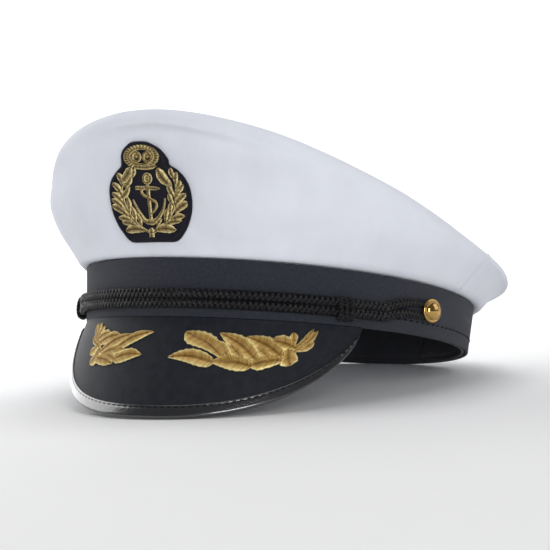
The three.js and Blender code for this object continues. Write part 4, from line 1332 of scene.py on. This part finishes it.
WREATH_LEAVES = {
    # from the branch, to the tip (mm from the panel's middle, mm up), and full width
    "right": [
        ([-3, 6], [-15.5, 6], 4.2),
        ([-7.5, 8], [-17, 10], 2.8),
        ([-9, 9.5], [-18.5, 12.3], 2.8),
        ([-12, 12.6], [-21, 18], 3.6),
        ([-13.4, 15.5], [-20.4, 20.8], 2.8),
        ([-13.6, 18.5], [-19.5, 23.5], 3),
        ([-13.6, 22], [-18.5, 28], 3),
        ([-12.6, 26], [-15.5, 32.5], 3),
        ([-14, 27.6], [-7.5, 35], 4.4),
        ([-7.4, 30], [-5.9, 34.2], 2),
        ([-12, 25.6], [-7.6, 30.6], 2.4),
        ([-16, 20.2], [-9.3, 25.9], 2.8),
        ([-11.2, 14], [-11.4, 21.6], 2.4),
        ([-8.4, 10], [-9.6, 17], 2.4),
        ([-5.4, 8], [-7.2, 14], 2.2),
    ],
    "left": [
        ([2.2, 6], [13.6, 6], 4.4),
        ([8, 8.2], [17, 10.2], 2.6),
        ([11.5, 10.4], [18.8, 12.4], 3),
        ([13.6, 13.6], [21.4, 18.4], 3.6),
        ([14.4, 17], [20.6, 22.2], 3),
        ([15.4, 20.6], [19.6, 26.4], 2.6),
        ([16, 22], [18.2, 28.4], 2.6),
        ([15.6, 26.4], [16.4, 32], 2.6),
        ([15.2, 28.6], [13, 34], 2.8),
        ([13.4, 25.6], [6, 34], 4.8),
        ([14.6, 20.6], [11.4, 27.4], 2.8),
        ([13.8, 16.8], [11.6, 23], 2.4),
        ([11.6, 12], [12.8, 19], 2.4),
        ([8.6, 9.4], [10.6, 16], 2.4),
        ([3.6, 7.6], [6.4, 11], 2),
    ],
}
WREATH_STEM = {
    "right": [[0, 4.6], [-5.5, 7.2], [-10.4, 12], [-13.2, 18], [-13.8, 24], [-12.6, 29]],
    "left": [[0.8, 4.6], [6, 7.2], [11.2, 12], [14.2, 18], [15.4, 24], [14.8, 29]],
}
WREATH_TIE = [[0.2, 2.6], [0.2, 4.6], [0.2, 7]]


def on_patch(flat):
    """Flat points (mm to the side, mm up, mm off the felt) onto the face of the patch."""
    return on_panel(flat + [0, 0, PATCH_FIELD + 0.05])


def branch_parts(side, label):
    """Leaves and stem of one branch of the wreath."""
    leaves = [
        leaf(base, tip, width, height=0.95, bend=0.07 * side, widest=0.5)
        for base, tip, width in WREATH_LEAVES[label]
    ]
    return leaves + [stem(WREATH_STEM[label], width=1.1, height=0.6)]


# The dark colour is painted shade for the midribs, the light colour painted highlight for the leaves'
# edges.
badge_thread = satin_thread(
    "badge_thread", (0.012, 0.006, 0.002), (0.2, 0.13, 0.03), (1.0, 0.86, 0.44), 0.36, 0.35
)
tie = stem(WREATH_TIE, width=2.8, height=0.9)
wreath_parts = branch_parts(-1, "right") + branch_parts(1, "left") + [tie]
wreath = add_piece("wreath", embroidered(wreath_parts, on_patch), badge_thread)
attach(wreath, "root")
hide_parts("badge_wreath")

# ---- badge anchor ----------------------------------------------------------------------
# A fouled anchor in the same thread: ring, stock, shank, curved arms that rise to points,
# and a rope that winds round the shank.

ANCHOR_ARMS = [
    # each from the foot of the shank to its point
    [[0.2, 9.6], [-2.6, 10.3], [-5.2, 13.6], [-7.1, 17], [-8.4, 20]],
    [[0.2, 9.6], [3.8, 10.6], [7.2, 14.2], [8.7, 17.4], [9.3, 20.2]],
]
ANCHOR_SHANK = [[0.5, 10], [0.6, 18], [0.6, 27]]
ANCHOR_STOCK = [[-6, 25.3], [0.4, 25.1], [6.9, 24.7]]
ANCHOR_FOOT = [[-3, 9.7], [3.6, 9.7]]
ANCHOR_RING = [0.6, 29.3]
ANCHOR_ROPE = [
    [0.4, 26], [-2.8, 24.4], [-2.6, 22.4], [0.8, 20.4],
    [3.9, 18.8], [4.4, 16.8], [2.6, 14.6], [0.7, 13],
]


def arm(points):
    """One arm, 2.4 mm wide at its foot and tapered to its point."""
    path = smooth_path(points, THREAD_PITCH / ROWS_PER_THREAD)
    share = np.linspace(0, 1, len(path))
    return satin(path, 1.2 - 0.85 * share, 1.1)


def ring_part(middle, radius, width, height):
    """A ring of satin stitch round a point."""
    rows = max(int(2 * np.pi * radius / THREAD_PITCH * ROWS_PER_THREAD), 24)
    t = np.linspace(0, 2 * np.pi, rows)
    path = middle + radius * np.stack([np.cos(t), np.sin(t)], -1)
    return satin(path, np.full(rows, width / 2), height)


anchor_parts = [arm(points) for points in ANCHOR_ARMS]
anchor_parts += [
    stem(ANCHOR_SHANK, width=1.7, height=0.9),
    stem(ANCHOR_STOCK, width=1.7, height=0.85),
    leaf(*ANCHOR_FOOT, width=2.8, height=1.35, bend=0, widest=0.5),
    ring_part(ANCHOR_RING, radius=1.9, width=1.5, height=0.85),
    ring_part(ANCHOR_RING, radius=0.5, width=0.9, height=0.5),
    stem(ANCHOR_ROPE, width=1.2, height=1.2),
]
anchor = add_piece("anchor", embroidered(anchor_parts, on_patch), badge_thread)
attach(anchor, "root")
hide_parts("badge_anchor")

# ---- badge rosette ---------------------------------------------------------------------
# Over the anchor a scalloped oval of gold thread, a plain crest: short tufts round its
# edge, two coiled rings side by side, and a bar below.

ROSETTE_MIDDLE = np.array([-2.0, 39.6])
ROSETTE_HALF = np.array([9.4, 5.9])
ROSETTE_TUFTS = 28
ROSETTE_BAR = [[-5, 34.8], [0.5, 34.3], [5.6, 34.8]]
ROSETTE_COILS = [[-4.6, 39.4], [1.3, 39.2]]


def tuft(turn):
    """A short leaf that points out of the oval at one angle."""
    ray = np.array([np.cos(turn), np.sin(turn)]) * ROSETTE_HALF
    base, tip = ROSETTE_MIDDLE + ray * 0.58, ROSETTE_MIDDLE + ray
    return leaf(base, tip, width=1.9, height=0.85, bend=0, widest=0.6)


def oval_ring():
    """An oval of satin stitch that covers the inner ends of the tufts."""
    t = np.linspace(0, 2 * np.pi, 200)
    path = ROSETTE_MIDDLE + np.stack([np.cos(t), np.sin(t)], -1) * ROSETTE_HALF * [0.68, 0.66]
    return satin(path, np.full(len(path), 0.6), 1.1)


rosette_parts = [tuft(turn) for turn in np.linspace(0, 2 * np.pi, ROSETTE_TUFTS, endpoint=False)]
rosette_parts += [oval_ring(), stem(ROSETTE_BAR, width=2, height=1.05)]
for coil in ROSETTE_COILS:
    rosette_parts.append(ring_part(coil, radius=2.1, width=1.2, height=1.1))
    rosette_parts.append(ring_part(coil + np.array([-0.3, 0.3]), radius=0.5, width=0.8, height=0.8))
rosette = add_piece("rosette", embroidered(rosette_parts, on_patch), badge_thread)
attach(rosette, "root")
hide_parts("badge_crown")

# ---- studio ----------------------------------------------------------------------------
# A pale floor that sweeps up into the wall behind, soft lamps, and the camera a little
# above the floor, off the wearer's left front.

FLOOR_HALF = 2.4
FLOOR_DROP = 0.0001
SWEEP_START = 1.1
SWEEP_RADIUS = 0.9
WALL_TOP = 2.6
CAMERA_AZIMUTH = np.radians(33.2)
CAMERA_ELEVATION = np.radians(-6.4)
CAMERA_ROLL = np.radians(3.6)
CAMERA_DISTANCE = 1.2
CAMERA_TARGET = 0.04
CAMERA_LENS = 161.1
CAMERA_SHIFT = (-0.018, -0.0315)
LAMPS = [
    # name, degrees round from the front, degrees up, distance, side in metres, and watts
    ("front", 42, 12, 2.0, 0.9, 20.5),
    ("left", -86, 22, 1.5, 1.4, 14),
    ("left rear", -126, 14, 1.4, 0.7, 3.5),
    ("right rear", 128, 20, 1.5, 1.0, 3.5),
    ("overhead", 180, 80, 1.5, 1.2, 10.5),
]
LAMP_AIM = (0, 0, 0.06)
BACKDROP_LAMP = ("backdrop", 33, 35, 1.1, 1.0, 22)
BACKDROP_AIM = (-0.9, 1.5, 0.7)


def floor_sweep():
    """Flat floor, a quarter circle and a wall, as one profile carried sideways."""
    turn = np.linspace(0, np.pi / 2, 24)
    wall = SWEEP_START + SWEEP_RADIUS
    y = np.concatenate([[-FLOOR_HALF], SWEEP_START + SWEEP_RADIUS * np.sin(turn), [wall]])
    z = np.concatenate([[0], SWEEP_RADIUS * (1 - np.cos(turn)), [WALL_TOP]]) - FLOOR_DROP
    x = np.linspace(-FLOOR_HALF, FLOOR_HALF, 3)
    return np.stack(np.broadcast_arrays(x[:, None], y[None, :], z[None, :]), -1)


def add_floor():
    """The sweep as a mesh, turned to stand square behind the cap as the camera sees it."""
    grid = floor_sweep()
    rows, columns = grid.shape[:2]
    mesh = bpy.data.meshes.new("floor")
    index = np.arange(rows * columns).reshape(rows, columns)
    quads = np.stack([index[:-1, :-1], index[1:, :-1], index[1:, 1:], index[:-1, 1:]], -1)
    mesh.from_pydata(grid.reshape(-1, 3).tolist(), [], quads.reshape(-1, 4).tolist())
    mesh.polygons.foreach_set("use_smooth", np.ones(len(mesh.polygons), bool))
    floor = bpy.data.objects.new("floor", mesh)
    floor.rotation_euler[2] = CAMERA_AZIMUTH
    bpy.context.scene.collection.objects.link(floor)
    material, _, _ = new_material("floor_paint", (0.86, 0.86, 0.86), 0.9)
    mesh.materials.append(material)
    return floor


def axes_matrix(x, y, z, spot):
    """The matrix that carries an object's own axes to x, y and z, and its middle to a spot."""
    return Matrix([list(row) for row in zip(x, y, z, spot)] + [[0, 0, 0, 1]])


def add_camera():
    """Placed in the rim's frame round a point over the rim, then carried by the resting tilt."""
    a, e, r = CAMERA_AZIMUTH, CAMERA_ELEVATION, CAMERA_ROLL
    back = np.array([np.sin(a) * np.cos(e), -np.cos(a) * np.cos(e), np.sin(e)])
    side = np.array([np.cos(a), np.sin(a), 0])
    over = np.cross(back, side)
    right = np.cos(r) * side + np.sin(r) * over
    up = np.cos(r) * over - np.sin(r) * side
    spot = np.array([0, 0, CAMERA_TARGET]) + back * CAMERA_DISTANCE
    pose = axes_matrix(right, up, back, spot)
    rest = Matrix.Rotation(-REST_TILT, 4, "X")
    rest.translation = (0, REST_SHIFT * 0.001, REST_LIFT * 0.001)
    data = bpy.data.cameras.new("camera")
    data.sensor_width = 36
    data.lens = CAMERA_LENS
    data.shift_x, data.shift_y = CAMERA_SHIFT
    camera = bpy.data.objects.new("camera", data)
    camera.matrix_world = rest @ pose
    bpy.context.scene.collection.objects.link(camera)
    bpy.context.scene.camera = camera


def add_lamp(name, azimuth, elevation, distance, size, power, aim):
    """A square soft lamp at angles round from the front of its aim, turned to face it."""
    a, e = np.radians(azimuth), np.radians(elevation)
    away = np.array([np.sin(a) * np.cos(e), -np.cos(a) * np.cos(e), np.sin(e)])
    side = unit(np.cross([0, 0, 1], away))
    data = bpy.data.lights.new(name, "AREA")
    data.size = size
    data.energy = power
    lamp = bpy.data.objects.new(name, data)
    lamp.matrix_world = axes_matrix(side, np.cross(away, side), away, aim + away * distance)
    bpy.context.scene.collection.objects.link(lamp)


add_floor()
add_camera()
for lamp in LAMPS:
    add_lamp(*lamp, LAMP_AIM)
add_lamp(*BACKDROP_LAMP, BACKDROP_AIM)
world = bpy.data.worlds.new("studio")
bpy.context.scene.world = world
world.use_nodes = True
sky = world.node_tree.nodes["Background"]
sky.inputs["Color"].default_value = (0.95, 0.97, 1, 1)
sky.inputs["Strength"].default_value = 0.15

bpy.context.scene.view_settings.view_transform = "Standard"
